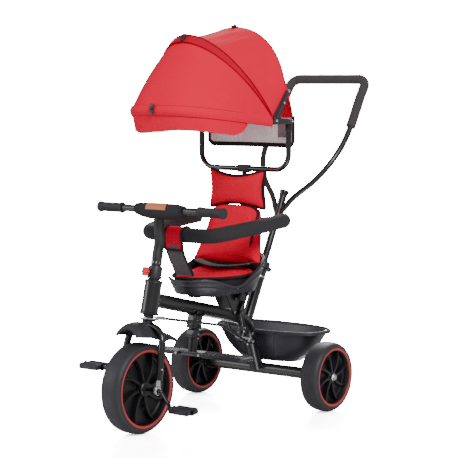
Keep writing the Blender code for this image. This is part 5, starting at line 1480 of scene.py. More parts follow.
# ---------------------------------------------------------------------------------------------- seat
@dataclass
class Seat:
    """Moulded shell, sewn cushions with black binding, head pad, belt and the post behind them."""

    floor: float = 0.362
    front: float = -0.382
    rear: float = -0.092
    half: float = 0.130
    taper: float = 0.50
    wall: float = 0.0030

    def outline(self, angle: float, grow: float) -> Vector:
        """A point of the shell's plan.

        Args:
            angle: its bearing.
            grow: how far outside the plan.

        Returns:
            The point at height zero.
        """
        middle = (self.front + self.rear) / 2
        x, y = squircle(angle, self.half + grow, (self.rear - self.front) / 2 + grow, 2.7)
        ahead = max(0.0, (self.rear - middle - y) / (self.rear - self.front))
        return Vector((x * (1 - self.taper * ahead ** 2.6), middle + y, 0))

    def edge_height(self, y: float) -> float:
        """Height of the shell's wavy edge at a Y."""
        along = (y - self.front) / (self.rear - self.front)
        dip = 0.022 * math.exp(-((along - 0.43) / 0.17) ** 2) - 0.004 * math.exp(-((along - 0.12) / 0.10) ** 2)
        return 0.402 - dip + 0.066 * max(0.0, along - 0.35) ** 1.3 / 0.65 ** 1.3

    def shell(self) -> None:
        """The shell: floor, flared side with a moulded crease, and a rolled lip."""
        def spot(u: float, v: float) -> Vector:
            """A point of the shell's outside, from the floor's middle out to the lip."""
            angle = 2 * math.pi * u
            if v < 0.25:
                p = self.outline(angle, -0.022)
                middle = Vector((0, (self.front + self.rear) / 2, 0))
                p = middle.lerp(p, v / 0.25)
                return Vector((p.x, p.y, self.floor - self.wall))
            t = (v - 0.25) / 0.75
            crease = 0.0032 * math.exp(-((t - 0.62) / 0.055) ** 2)
            p = self.outline(angle, -0.022 * (1 - t) ** 1.6 + crease)
            top = self.edge_height(p.y)
            return Vector((p.x, p.y, self.floor - self.wall + (top - self.floor + self.wall) * t))

        bm = skin(spot, 120, 40, wrap=True)
        bmesh.ops.remove_doubles(bm, verts=bm.verts, dist=1e-5)
        shell = thickened(bm, self.wall)
        lip = []
        for k in range(160):
            p = self.outline(2 * math.pi * k / 160, 0.0020)
            lip.append(Vector((p.x, p.y, self.edge_height(p.y) - 0.0022)))
        parts = [shell, sweep(lip, 0.0042, 16, True)]
        for s in (1, -1):
            rib = [Vector((s * 0.045, y, self.floor - 0.0045)) for y in (-0.31, -0.16)]
            parts.append(sweep(rib, 0.004, 12))
        piece("seat_tub", joined(parts), SHELL_PLASTIC, "frame", ["seat_shell"], crease=60)
        pan = brick((-0.052, -0.300, self.floor - 0.0125), (0.052, -0.160, self.floor - 0.0040), 0.002)
        piece("seat_pan", pan, TUBE_PAINT, "frame")

    def seat_pad(self) -> None:
        """The seat cushion: a thin padded mat that follows the tub, bound in black, under a belt band."""
        def spot(u: float, v: float, grow: float = 0.0) -> Vector:
            """A point of the cushion: v runs over the top from the middle to the edge and back below."""
            angle = 2 * math.pi * u
            out = 1 - abs(2 * v - 1)
            p = self.outline(angle, -0.0150 + grow)
            p.y = min(p.y, -0.134)
            middle = Vector((0, -0.235, 0))
            q = middle.lerp(p, out ** 0.8)
            rear = min(1.0, max(0.0, (q.y + 0.24) / 0.14))
            top = 0.4095 + 0.014 * rear + 0.006 * math.sin(math.pi * min(1.0, out * 1.1))
            base = self.floor + 0.006 + 0.034 * out ** 3
            roll = math.sin(math.pi * v)
            z = top - 0.007 * out ** 6 if v < 0.5 else base
            if abs(v - 0.5) < 0.02:
                z = (top + base) / 2 + 0.004 * roll
            return Vector((q.x, q.y, z))

        bm = skin(spot, 80, 36, wrap=True)
        bmesh.ops.remove_doubles(bm, verts=bm.verts, dist=1e-5)
        pad = piece("seat_mat", bm, CUSHION_CLOTH, "frame", ["seat_cushion"], crease=70)
        stuffed(pad, 0.005, 3.0, 0.003)
        line = []
        for k in range(120):
            p = self.outline(2 * math.pi * k / 120, -0.0125)
            p.y = min(p.y, -0.132)
            rear = min(1.0, max(0.0, (p.y + 0.24) / 0.14))
            line.append(Vector((p.x, p.y, 0.4075 + 0.014 * rear)))
        piece("seat_mat_binding", sweep(line, 0.0038, 12, True), BINDING, "frame")

        def under(u: float, v: float) -> Vector:
            """A point of the dark sheet below the cushion's edge: painted shade for the pad's shadowed side, and
            partly the tub's own dark inside.
            """
            p = self.outline(2 * math.pi * u, -0.0175 - 0.004 * v)
            p.y = min(p.y, -0.136)
            rear = min(1.0, max(0.0, (p.y + 0.24) / 0.14))
            return Vector((p.x, p.y, 0.4060 + 0.014 * rear - 0.032 * v))

        # A dark band of painted shade under the cushion's binding, where the pad's side lies in shadow above the tub's
        # dark inside.
        shade_sheet = skin(under, 96, 4, wrap=True)
        shade_sheet_size = Steering.measure(under)
        shade_sheet_area = cloth_area(shade_sheet)
        skirt = piece("seat_mat_shade_skirt", thickened(shade_sheet, 0.002), PAD_CLOTH, "frame", crease=70)

        def belt(u: float, v: float) -> Vector:
            """A point of the belt band across the seat."""
            x = -0.098 + 0.196 * u
            y = -0.196 - 0.028 * math.cos(math.pi * (u - 0.5)) + 0.036 * v
            z = 0.4265 + 0.010 * (2 * u - 1) ** 2 + 0.002 * math.sin(math.pi * v) + 0.0022 * v
            return Vector((x, y, z))

        surface = skin(belt, 48, 8)
        size = Steering.measure(belt)
        area = cloth_area(surface)
        band = piece("seat_belt", thickened(surface, -0.0022), STRAP_MESH, "frame", crease=60)
        edges = [sweep([belt(k / 48, v) + Vector((0, 0, 0.0012)) for k in range(49)], 0.0022, 10)
                 for v in (0.0, 1.0)]
        piece("seat_belt_binding", joined(edges), BINDING, "frame")

    def pillow(self, name: str, width: Callable[[float], float], low: Callable[[float], float],
               high: Callable[[float], float], front: Callable[[float, float], float], thick: float,
               node: str, cap: float) -> Callable[[float, float], Vector]:
        """A sewn pad standing against the seat's back, thick in its middle and thin at its bound edge.

        Args:
            name: the piece's name.
            width: half width at a share of the height.
            low: bottom edge's height at a share of the width from -1 to 1.
            high: top edge's height at the same.
            front: Y of the pad's middle plane at a share of the width and a height.
            thick: half thickness at the middle.
            node: the CAD node it stands for.
            cap: furthest that the simulation may move a point.

        Returns:
            The function that gives a point of the middle plane.
        """
        def flat(a: float, b: float) -> Vector:
            """A point of the pad's middle surface; a and b run from -1 to 1."""
            share = (b + 1) / 2
            z = low(a) + (high(a) - low(a)) * share
            return Vector((a * width(share), front(a, z), z))

        bm = bmesh.new()
        bmesh.ops.create_cube(bm, size=2.0)
        bmesh.ops.subdivide_edges(bm, edges=bm.edges[:], cuts=15, use_grid_fill=True)
        for v in bm.verts:
            a, b, c = v.co
            soft = max(0.0, 1 - a ** 4) ** 0.5 * max(0.0, 1 - b ** 4) ** 0.5
            spot = flat(a, b)
            spot.y += c * (0.0042 + (thick - 0.0042) * soft)
            v.co = spot
        pad = piece(name, bm, CUSHION_CLOTH, "frame", [node], crease=80)
        stuffed(pad, 0.005, 4.0, cap)
        return flat

    def back_pads(self) -> None:
        """The back cushion, wide at its foot, with the seam of its side flap, and the waisted head pad."""
        def back_plane(a: float, z: float) -> float:
            """Y of the back cushion's middle plane: its foot comes forward and wraps round the child."""
            foot = min(1.0, max(0.0, (0.600 - z) / 0.168))
            return -0.124 - 0.026 * foot ** 1.5 + (0.010 - 0.034 * foot) * a * a

        back = self.pillow("back_pad", lambda s: 0.124 - 0.036 * s ** 0.9, lambda a: 0.430 + 0.006 * a * a,
                           lambda a: 0.604 - 0.014 * a ** 4, back_plane, 0.020, "back_cushion", 0.004)
        seam = [(0.30, 1.00), (0.62, 0.995), (0.86, 0.96), (0.95, 0.84), (0.93, 0.62), (0.86, 0.30), (0.80, 0.0),
                (0.75, -0.40), (0.70, -0.97)]
        proud = []
        for a, b in seam:
            soft = max(0.0, 1 - a ** 4) ** 0.5 * max(0.0, 1 - b ** 4) ** 0.5
            proud.append(back(a, b) - Vector((0, 0.0042 + 0.0158 * soft, 0)))
        hem = [back(-0.97 + 1.94 * k / 40, -1.0) + Vector((0, -0.002, 0)) for k in range(41)]
        piece("back_pad_seams", joined([sweep(flowing(proud, 60), 0.0036, 12), sweep(hem, 0.0050, 14)]), BINDING,
              "frame")
        head = self.pillow("head_pad", lambda s: 0.097 - 0.006 * math.sin(math.pi * s) ** 2,
                           lambda a: 0.607 - 0.016 * abs(a) ** 2.0, lambda a: 0.684 + 0.020 * abs(a) ** 1.8,
                           lambda a, z: -0.119 + 0.02 * (z - 0.65) + 0.008 * a * a, 0.029, "headrest_cushion",
                           0.004)
        line = [head(-1 + k / 12, -1) for k in range(24)] + [head(1, -1 + k / 12) for k in range(24)]
        line += [head(1 - k / 12, 1) for k in range(24)] + [head(-1, 1 - k / 12) for k in range(24)]
        smoothed = [(line[k - 1] + line[k] * 2 + line[(k + 1) % 96]) / 4 for k in range(96)]
        piece("head_pad_binding", sweep(smoothed, 0.0050, 14, True), BINDING, "frame")

    def back_post(self) -> None:
        """The post behind the seat, the guard ring's two sockets, a clip, and the stays under the seat."""
        post = rounded([(0, -0.150, 0.392), (0, -0.074, 0.404), (0, -0.066, 0.46), (0, -0.080, 0.6966)], 0.02, 6)
        arms = rounded([(-0.1195, -0.085, 0.562), (-0.095, -0.085, 0.562), (0, -0.065, 0.548),
                        (0.095, -0.085, 0.562), (0.1195, -0.085, 0.562)], 0.03, 6)
        parts = [sweep(post, 0.0075, 28), sweep(arms, 0.0060, 24)]
        for s in (1, -1):
            parts.append(along_x(lathe([(0, 0.104), (0.0075, 0.104), (0.0085, 0.106), (0.0085, 0.1165),
                                        (0.0075, 0.1185), (0, 0.1185)], 28)))
            placed(parts[-1], Matrix.Translation((0, -0.085, 0.562)) @ Matrix.Scale(s, 4, (1, 0, 0)))
        clip = brick((-0.016, -0.078, 0.590), (0.016, -0.060, 0.618), 0.003)
        piece("back_stand", joined(parts + [clip]), TUBE_PAINT, "frame", ["back_frame"])
        stays = []
        for s in (1, -1):
            stays.append(sweep(rounded([(s * 0.030, -0.102, 0.347), (s * 0.030, -0.141, 0.289),
                                        (s * 0.026, -0.118, 0.232)], 0.02, 6), 0.0050, 20))
        piece("seat_stays", joined(stays), TUBE_PAINT, "frame")

    def build(self) -> None:
        """Makes the seat."""
        self.shell()
        self.seat_pad()
        self.back_pads()
        self.back_post()


# ---------------------------------------------------------------------------------------- guard ring
@dataclass
class GuardRing:
    """Foam-covered hoop on two sockets, with the padded sleeve and the strap between the legs."""

    pivot_y: float = -0.085
    pivot_z: float = 0.562
    front_y: float = -0.392
    drop: float = 0.029
    half: float = 0.158
    foam_radius: float = 0.0210

    def line(self) -> list[Vector]:
        """The hoop's centre line from the left socket round to the right one."""
        front = self.front_y - self.pivot_y
        corners = [(0.1201, 0, 0), (self.half, 0, 0), (self.half - 0.002, front * 0.50, -self.drop * 0.42),
                   (0.118, front, -self.drop)]
        path = corners + [(-x, y, z) for x, y, z in corners[::-1]]
        bent = rounded(path, [0.026, 0.12, 0.052, 0.052, 0.12, 0.026], 5)
        return [p + Vector((0, self.pivot_y, self.pivot_z)) for p in bent]

    def hoop(self) -> None:
        """The tube and its thick foam, with rounded ends."""
        line = self.line()
        piece("hoop_tube", sweep(line, 0.0080, 24), TUBE_PAINT, "guard_ring", ["guard_tube"])
        lengths = [0.0]
        for p, q in zip(line, line[1:]):
            lengths.append(lengths[-1] + (q - p).length)
        total = lengths[-1]
        low, high = 0.030, total - 0.030
        dense = []
        for k in range(141):
            want = low + (high - low) * k / 140
            j = max(i for i in range(len(line) - 1) if lengths[i] <= want)
            dense.append(line[j].lerp(line[j + 1], (want - lengths[j]) / max(1e-9, lengths[j + 1] - lengths[j])))

        def roll(share: float) -> float:
            """Rounded ends and a faintly uneven sleeve."""
            end = min(share, 1 - share) * (high - low)
            soft = math.sqrt(min(1.0, (end + 0.001) / 0.008)) if end < 0.007 else 1.0
            return max(0.45, soft) * (1 + 0.012 * math.sin(share * 47) + 0.008 * math.sin(share * 113))

        foam = piece("hoop_foam", sweep(dense, self.foam_radius, 36, swell=roll), SLEEVE_FOAM, "guard_ring",
                     ["guard_foam"], crease=60)

    def strap(self) -> None:
        """A bound red sleeve round the hoop's front, and the mesh strap from it down to the seat."""
        low_ring = self.pivot_z - self.drop
        outer = self.foam_radius + 0.0024

        def over(t: float) -> tuple[float, float]:
            """(y, z) along the sleeve: up behind the hoop, over it and down its front."""
            if t < 0.62:
                a = math.radians(150 - 262 * t / 0.62)
                return self.front_y + outer * math.sin(a), low_ring + outer * math.cos(a)
            s = (t - 0.62) / 0.38
            y0 = self.front_y - outer * math.sin(math.radians(112))
            z0 = low_ring + outer * math.cos(math.radians(112))
            return y0 + 0.004 * s, z0 + (0.4915 - z0) * s

        def sleeve(u: float, v: float) -> Vector:
            """A point of the sleeve, with rounded lower corners."""
            y, z = over(v)
            narrow = 1.0 - 0.10 * max(0.0, (v - 0.86) / 0.14) ** 2
            waist = 1.0 - 0.07 * math.sin(math.pi * min(1.0, v / 0.9)) ** 2
            return Vector((0.030 * (2 * u - 1) * narrow * (1.07 * waist), y, z))

        surface = skin(sleeve, 20, 64)
        area, size = cloth_area(surface), Steering.measure(sleeve)
        red = piece("hoop_sleeve", thickened(surface, -0.0020), SLEEVE_CLOTH, "guard_ring",
                    crease=70)
        min(area, size[0] * size[1])
        edge = [sleeve(0.0, k / 64) for k in range(65)] + [sleeve(k / 20, 1.0) for k in range(1, 20)]
        edge += [sleeve(1.0, 1 - k / 64) for k in range(65)]
        piece("hoop_sleeve_binding", sweep(edge, 0.0034, 12), BINDING, "guard_ring")
        path = flowing([(0, self.front_y - 0.0188, 0.5060), (0, self.front_y - 0.010, 0.478),
                        (0, self.front_y + 0.008, 0.449), (0, self.front_y + 0.022, 0.428),
                        (0, self.front_y + 0.027, 0.4165)], 33)

        def web(u: float, v: float) -> Vector:
            """A point of the strap, slightly dished across."""
            p = path[round(v * 32)]
            x = 0.0285 * (2 * u - 1) * (1.0 + 0.10 * v)
            return Vector((x, p.y + 0.003 * (2 * u - 1) ** 2, p.z))

        surface = skin(web, 16, 32)
        area, size = cloth_area(surface), Steering.measure(web)
        mesh = piece("crotch_web", thickened(surface, -0.0026), STRAP_MESH, "guard_ring",
                     ["crotch_strap"], crease=70)
        min(area, size[0] * size[1])
        edges = [sweep([web(u, k / 32) + Vector((0, -0.0012, 0)) for k in range(33)], 0.0030, 12) for u in (0.0, 1.0)]
        piece("crotch_web_binding", joined(edges), BINDING, "guard_ring")

    def build(self) -> None:
        """Makes the hoop and its strap."""
        self.hoop()
        self.strap()


# ------------------------------------------------------------------------------------------- canopy
class Bow(Enum):
    """The three canopy bows: reach and angle from the pivots, and how square the arch is."""

    FRONT = (0.331, 6.4, 3.0)
    MID = (0.300, 49.2, 2.0)
    REAR = (0.267, 98.2, 2.2)

    @property
    def reach(self) -> float:
        """Distance from the pivots' line to the crown."""
        return self.value[0]

    @property
    def angle(self) -> float:
        """Rise of the bow's plane from level, in radians."""
        return math.radians(self.value[1])

    @property
    def power(self) -> float:
        """2 is an ellipse and more is squarer."""
        return self.value[2]


@dataclass
class Canopy:
    """Polyester hood on three bows, with channels, peak, mesh window and the two hinges."""

    half: float = 0.165
    pivot_y: float = -0.165
    pivot_z: float = 0.849
    peak_start: float = -0.112
    peak_depth: float = 0.058
    window_y: float = 0.112
    window_low: float = 0.770
    window_top: float = 0.005
    start: float = 0.004

    def place(self) -> Matrix:
        """The hood's coordinates are measured from the middle of the pivots' line."""
        return WORLD @ Matrix.Translation((0, self.pivot_y, self.pivot_z))

    def arch(self, bow: Bow, u: float, inset: float = 0.0, swing: float = 0.0) -> Vector:
        """A point of a bow.

        Args:
            bow: which bow.
            u: 0 at the left pivot and 1 at the right.
            inset: how far inside the cloth.
            swing: radians added to the bow's angle.

        Returns:
            The point.
        """
        a = self.start + (math.pi - 2 * self.start) * u
        c, s = math.cos(a), math.sin(a)
        x = (self.half - inset) * math.copysign(abs(c) ** (2 / bow.power), c)
        r = (bow.reach - inset) * abs(s) ** (2 / bow.power)
        if bow is Bow.REAR:
            base = Vector((0, 0.058, 0.078))
            crown = Vector((0, -math.cos(bow.angle), math.sin(bow.angle))) * (bow.reach - inset)
            turn = Matrix.Rotation(-swing, 3, "X")
            return turn @ (base + (crown - base) * abs(s) ** (2 / bow.power) + Vector((x, 0, 0)))
        angle = bow.angle + swing
        return Vector((x, -r * math.cos(angle), r * math.sin(angle)))

    def gore(self, low: Bow, high: Bow, belly: float, wrinkle: float, u: float, t: float) -> Vector:
        """A point of the cloth between two bows.

        Args:
            low: the bow where t is 0.
            high: the bow where t is 1.
            belly: how far the cloth stands out or sags in its middle.
            wrinkle: depth of its creases.
            u: share across.
            t: share from bow to bow.

        Returns:
            The point.
        """
        spot = self.arch(low, u).lerp(self.arch(high, u), t)
        away = Vector((0, spot.y, spot.z))
        reach = away.length
        away = away.normalized() if reach > 1e-6 else Vector((0, 0, 1))
        full = min(1.0, reach / 0.15)
        side = abs(2 * u - 1)
        creases = math.sin(34 * side + 2.2 * math.sin(3 * t) + 5 * u) + 0.4 * math.sin(71 * side - 4 * t)
        where = 1.0 if low is Bow.REAR else math.exp(-((side - 0.86) / 0.10) ** 2)
        rise = belly * math.sin(math.pi * t) * full
        rise += wrinkle * creases * math.sin(math.pi * t) * where * full
        outward = away * rise + Vector((math.copysign(0.35 * rise, spot.x) * side, 0, 0))
        return spot + outward

    def panels(self) -> None:
        """The front and rear cloths."""
        def front(u: float, v: float) -> Vector:
            """A point of the front cloth, from the middle bow to the front one."""
            return self.gore(Bow.MID, Bow.FRONT, 0.0085, 0.0022, u, v)

        surface = skin(front, 120, 40)
        area, size = cloth_area(surface), Steering.measure(front)
        cloth = piece("hood_front", thickened(surface, -0.0014), CANOPY_CLOTH, "",
                      ["canopy_front_panel"], self.place(), 80)
        self.crown(Bow.MID)
        self.crown(Bow.FRONT)
        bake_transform(cloth)

        def rear(u: float, v: float) -> Vector:
            """A point of the rear cloth: the back flap, then up to the rear bow and on to the middle one."""
            if v < 0.25:
                low = self.back_point(u, v / 0.25)
                return low
            t = (v - 0.25) / 0.75
            point = self.gore(Bow.REAR, Bow.MID, -0.0050, 0.0016, u, t)
            return point

        surface = skin(rear, 120, 48)
        area, size = cloth_area(surface), Steering.measure(rear)
        cloth = piece("hood_rear", thickened(surface, -0.0014), CANOPY_CLOTH, "",
                      ["canopy_rear_panel"], self.place(), 80)
        min(area, size[0] * size[1])
        self.crown(Bow.REAR)
        self.crown(Bow.MID)
        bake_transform(cloth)

    def crown(self, bow: Bow) -> Vector:
        """The top of a bow, in the object's frame."""
        return self.place() @ self.arch(bow, 0.5)

    def back_point(self, u: float, t: float) -> Vector:
        """A point of the red flap behind the rear bow, from its hem at t 0 up to the bow at t 1."""
        top = self.arch(Bow.REAR, u)
        x = top.x * 0.93
        hem = Vector((x, self.window_y - 0.003 + 0.028 * (1 - (x / self.half) ** 2), self.window_top))
        belly = 0.006 * math.sin(math.pi * t)
        spot = hem.lerp(top, t)
        return spot + Vector((0, belly, 0))

    def channels(self) -> None:
        """Doubled cloth round the front and middle bows, with a darker seam along each edge."""
        def front_band(u: float, v: float) -> Vector:
            """A point of the front bow's channel: v runs round the bow from above to below."""
            a = math.radians(100 - 175 * v)
            p = self.arch(Bow.FRONT, u)
            out = Vector((p.x * 0.35, p.y, 0)).normalized()
            return p + out * (0.0058 * math.sin(math.radians(175) * (1 - abs(2 * v - 1)) * 0.5)) + Vector(
                (0, 0, 0.0075 - 0.0245 * v + 0.0004 * math.sin(a)))

        surface = skin(front_band, 120, 12)
        area, size = cloth_area(surface), Steering.measure(front_band)
        band = piece("hood_front_channel", thickened(surface, -0.0016), CANOPY_CLOTH, "canopy_front",
                     (), self.place(), 80)
        min(area, size[0] * size[1])

        def mid_band(u: float, v: float) -> Vector:
            """A point of the middle bow's channel, a flat sleeve laid over both cloths."""
            wide = 0.050 * (2 * v - 1)
            p = self.arch(Bow.MID, u, -0.0035, wide)
            return p

        surface = skin(mid_band, 120, 6)
        area, size = cloth_area(surface), Steering.measure(mid_band)
        band = piece("hood_mid_channel", thickened(surface, -0.0012), CANOPY_BAND, "canopy_mid",
                     (), self.place(), 80)
        min(area, size[0] * size[1])
        mids = [sweep([self.arch(Bow.MID, k / 90, -0.0048, 0.050 * s) for k in range(2, 89)], 0.0012, 8)
                for s in (1, -1)]
        piece("hood_mid_piping", joined(mids), CANOPY_SEAM, "canopy_mid", (), self.place())
        fronts = [sweep([front_band(k / 90, v) * 1.0 for k in range(2, 89)], 0.0013, 8) for v in (0.0, 1.0)]
        piece("hood_front_piping", joined(fronts), CANOPY_SEAM, "canopy_front", (), self.place())
        rears = [sweep([self.arch(Bow.REAR, k / 90, -0.0010) for k in range(2, 89)], 0.0014, 8)]
        piece("hood_rear_piping", joined(rears), CANOPY_SEAM, "frame", (), self.place())

    def peak(self) -> None:
        """The soft peak that hangs below the front bow and curls in at its lower edge."""
        reach = self.peak_start
        ends = []
        for k in range(241):
            if self.arch(Bow.FRONT, k / 240).y < reach:
                ends.append(k / 240)
        first, last = ends[0], ends[-1]

        def spot(u: float, v: float) -> Vector:
            """A point of the peak, from its seam down to its hem."""
            p = self.arch(Bow.FRONT, first + (last - first) * u)
            near = min(u, 1 - u)
            edge = math.sqrt(max(0.0, 1 - (1 - min(1.0, near / 0.085)) ** 2))
            drop = self.peak_depth * (0.79 + 0.20 * math.exp(-((u - 0.57) / 0.11) ** 2))
            depth = 0.010 + drop * edge * v
            wave = 0.0018 * math.sin(u * 31) * v * v
            curl = -0.006 * v * v
            return Vector((p.x * (1 - 0.030 * v), p.y * (1 - 0.028 * v) - curl * 0.4 + wave, p.z - depth))

        surface = skin(spot, 140, 20)
        area, size = cloth_area(surface), Steering.measure(spot)
        cloth = piece("hood_peak", thickened(surface, -0.0018), CANOPY_CLOTH, "canopy_front",
                      ["canopy_visor"], self.place(), 80)
        min(area, size[0] * size[1])
        hem = [spot(0.0, k / 20) for k in range(3, 21)] + [spot(k / 140, 1.0) for k in range(1, 140)]
        hem += [spot(1.0, 1 - k / 20) for k in range(18)]
        piece("hood_peak_hem", sweep([p + Vector((0, 0, 0.0006)) for p in hem], 0.0016, 10), CANOPY_CLOTH,
              "canopy_front", (), self.place())

    def bows(self) -> None:
        """The three bows inside the cloth and the clip on each crown."""
        for bow, node, body in ((Bow.FRONT, "canopy_front_bow", "canopy_front"),
                                (Bow.MID, "canopy_mid_bow", "canopy_mid"),
                                (Bow.REAR, "canopy_rear_bow", "frame")):
            line = [self.arch(bow, k / 60, 0.0060) for k in range(61)]
            name = "hood_" + bow.name.lower() + "_bow"
            piece(name, sweep(line, 0.0034, 16), DULL_PLASTIC, body, [node], self.place())
            crown = self.arch(bow, 0.5)
            outward = Vector((0, crown.y, crown.z)).normalized()
            if bow is Bow.FRONT:
                outward = Vector((0, -1, 0.10)).normalized()
            across = outward.cross(Vector((1, 0, 0)))
            turn = Matrix((Vector((1, 0, 0)), across, outward)).transposed().to_4x4()
            base = brick((-0.0065, -0.0125, 0.0), (0.0065, 0.0125, 0.0052), 0.0018)
            nub = lathe([(0, 0.004), (0.0052, 0.004), (0.0048, 0.0088), (0.0030, 0.0098), (0, 0.0100)], 24)
            tail = brick((-0.0035, -0.0200, 0.0004), (0.0035, -0.010, 0.0036), 0.0012)
            clip = joined([base, nub, tail])
            lift = 0.0004 if bow is Bow.REAR else 0.0062
            placed(clip, Matrix.Translation(crown + outward * lift) @ turn)
            piece(name + "_clip", clip, SHELL_PLASTIC, body, (), self.place(), 30)

    def window(self) -> None:
        """The white mesh window under the back flap, bound in black, with a hook-tape patch."""
        def spot(u: float, v: float) -> Vector:
            """A point of the window, from its bottom edge up to the flap's hem."""
            x = self.half * 0.93 * (1 - 2 * u)
            bend = self.window_y + 0.028 * (1 - (x / self.half) ** 2)
            low = self.window_low - self.pivot_z
            low += 0.010 * max(0.0, (abs(2 * u - 1) - 0.90) / 0.10) ** 2
            return Vector((x, bend, low + (self.window_top + 0.006 - low) * v))

        surface = skin(spot, 80, 20)
        area, size = cloth_area(surface), Steering.measure(spot)
        net = piece("hood_window", thickened(surface, -0.0009), WINDOW_MESH, "frame", (),
                    self.place(), 80)
        min(area, size[0] * size[1])

        def trim(u: float, v: float) -> Vector:
            """A point of the bottom binding."""
            p = spot(u, 0.0)
            return p + Vector((0, 0.0010, -0.003 + 0.013 * v))

        surface = skin(trim, 80, 4)
        area, size = cloth_area(surface), Steering.measure(trim)
        band = piece("hood_window_binding", thickened(surface, 0.0030), BINDING, "frame", (),
                     self.place(), 80)
        min(area, size[0] * size[1])
        sides = []
        for u in (0.0, 1.0):
            sides.append(sweep([spot(u, k / 12) for k in range(13)], 0.0042, 12))
        piece("hood_window_sides", joined(sides), BINDING, "frame", (), self.place())

        def patch(u: float, v: float) -> Vector:
            """A point of the hook-tape patch on the inside of the window."""
            p = spot(0.10 + 0.11 * u, 0.30 + 0.42 * v)
            return p + Vector((0, -0.0014, 0))

        surface = skin(patch, 8, 8)
        area, size = cloth_area(surface), Steering.measure(patch)
        tape = piece("hood_window_patch", thickened(surface, 0.0008), GREY_PATCH, "frame", (),
                     self.place(), 80)
        min(area, size[0] * size[1])

    def hinges(self) -> None:
        """Boomerang plates with silver rivets, and the clips that hold them on the frame loop."""
        outline = rounded_outline([(-0.012, -0.010), (0.087, -0.012), (0.091, 0.001), (0.022, 0.007),
                                   (0.069, 0.079), (0.058, 0.087), (-0.010, 0.009)], 0.004)
        for side in Side:
            s = side.value
            low, high = sorted((s * (self.half + 0.0035), s * (self.half + 0.0078)))
            plate = slab(outline, low, high, "YZ", 0.0012)
            arm = sweep([Vector((s * (self.half + 0.0080), y, z)) for y, z in ((0.002, 0.002), (0.032, 0.042),
                                                                              (0.062, 0.082))], 0.0034, 16)
            low, high = sorted((s * (self.half + 0.0040), s * (self.half + 0.0120)))
            lug = brick((low, -0.011, -0.011), (high, 0.011, 0.011), 0.003)
            piece("hood_hinge_" + side.word, joined([plate, arm, lug]), DULL_PLASTIC, "frame",
                  ["canopy_hinge_" + side.word], self.place(), 30)
            rivets = [screw((s * (self.half + 0.0118), 0, 0), (s, 0, 0), 0.0050, 0.0026),
                      screw((s * (self.half + 0.0112), 0.038, 0.050), (s, 0, 0), 0.0042, 0.0024),
                      screw((s * (self.half + 0.0080), 0.083, -0.003), (s, 0, 0), 0.0042, 0.0024),
                      screw((s * (self.half + 0.0112), 0.062, 0.082), (s, 0, 0), 0.0036, 0.0022)]
            piece("hood_rivets_" + side.word, joined(rivets), CHROME, "frame", (), self.place())

    def loop(self) -> None:
        """The bent tube that carries the hood, with its sockets."""
        y, top, low, half = -0.080, 0.848, 0.705, 0.158
        path = rounded([(half, y, top), (half, y, low), (-half, y, low), (-half, y, top)], 0.045, 6)
        parts = [sweep(path, 0.0080, 32)]
        for s in (1, -1):
            parts.append(placed(lathe([(0, -0.012), (0.0102, -0.012), (0.0106, -0.010), (0.0106, 0.018),
                                       (0.0098, 0.020), (0, 0.020)], 32),
                                Matrix.Translation((s * half, y, top - 0.020))))
        piece("canopy_frame_loop", joined(parts), FORK_PAINT, "frame", ["canopy_frame"])
        clip = brick((-0.020, y - 0.011, low - 0.0115), (0.020, y + 0.011, low + 0.0115), 0.004)
        piece("canopy_loop_clip", clip, DULL_PLASTIC, "frame")

    def build(self) -> None:
        """Makes the hood."""
        self.bows()
        self.channels()
        self.panels()
        self.peak()
        self.window()
        self.hinges()
        self.loop()


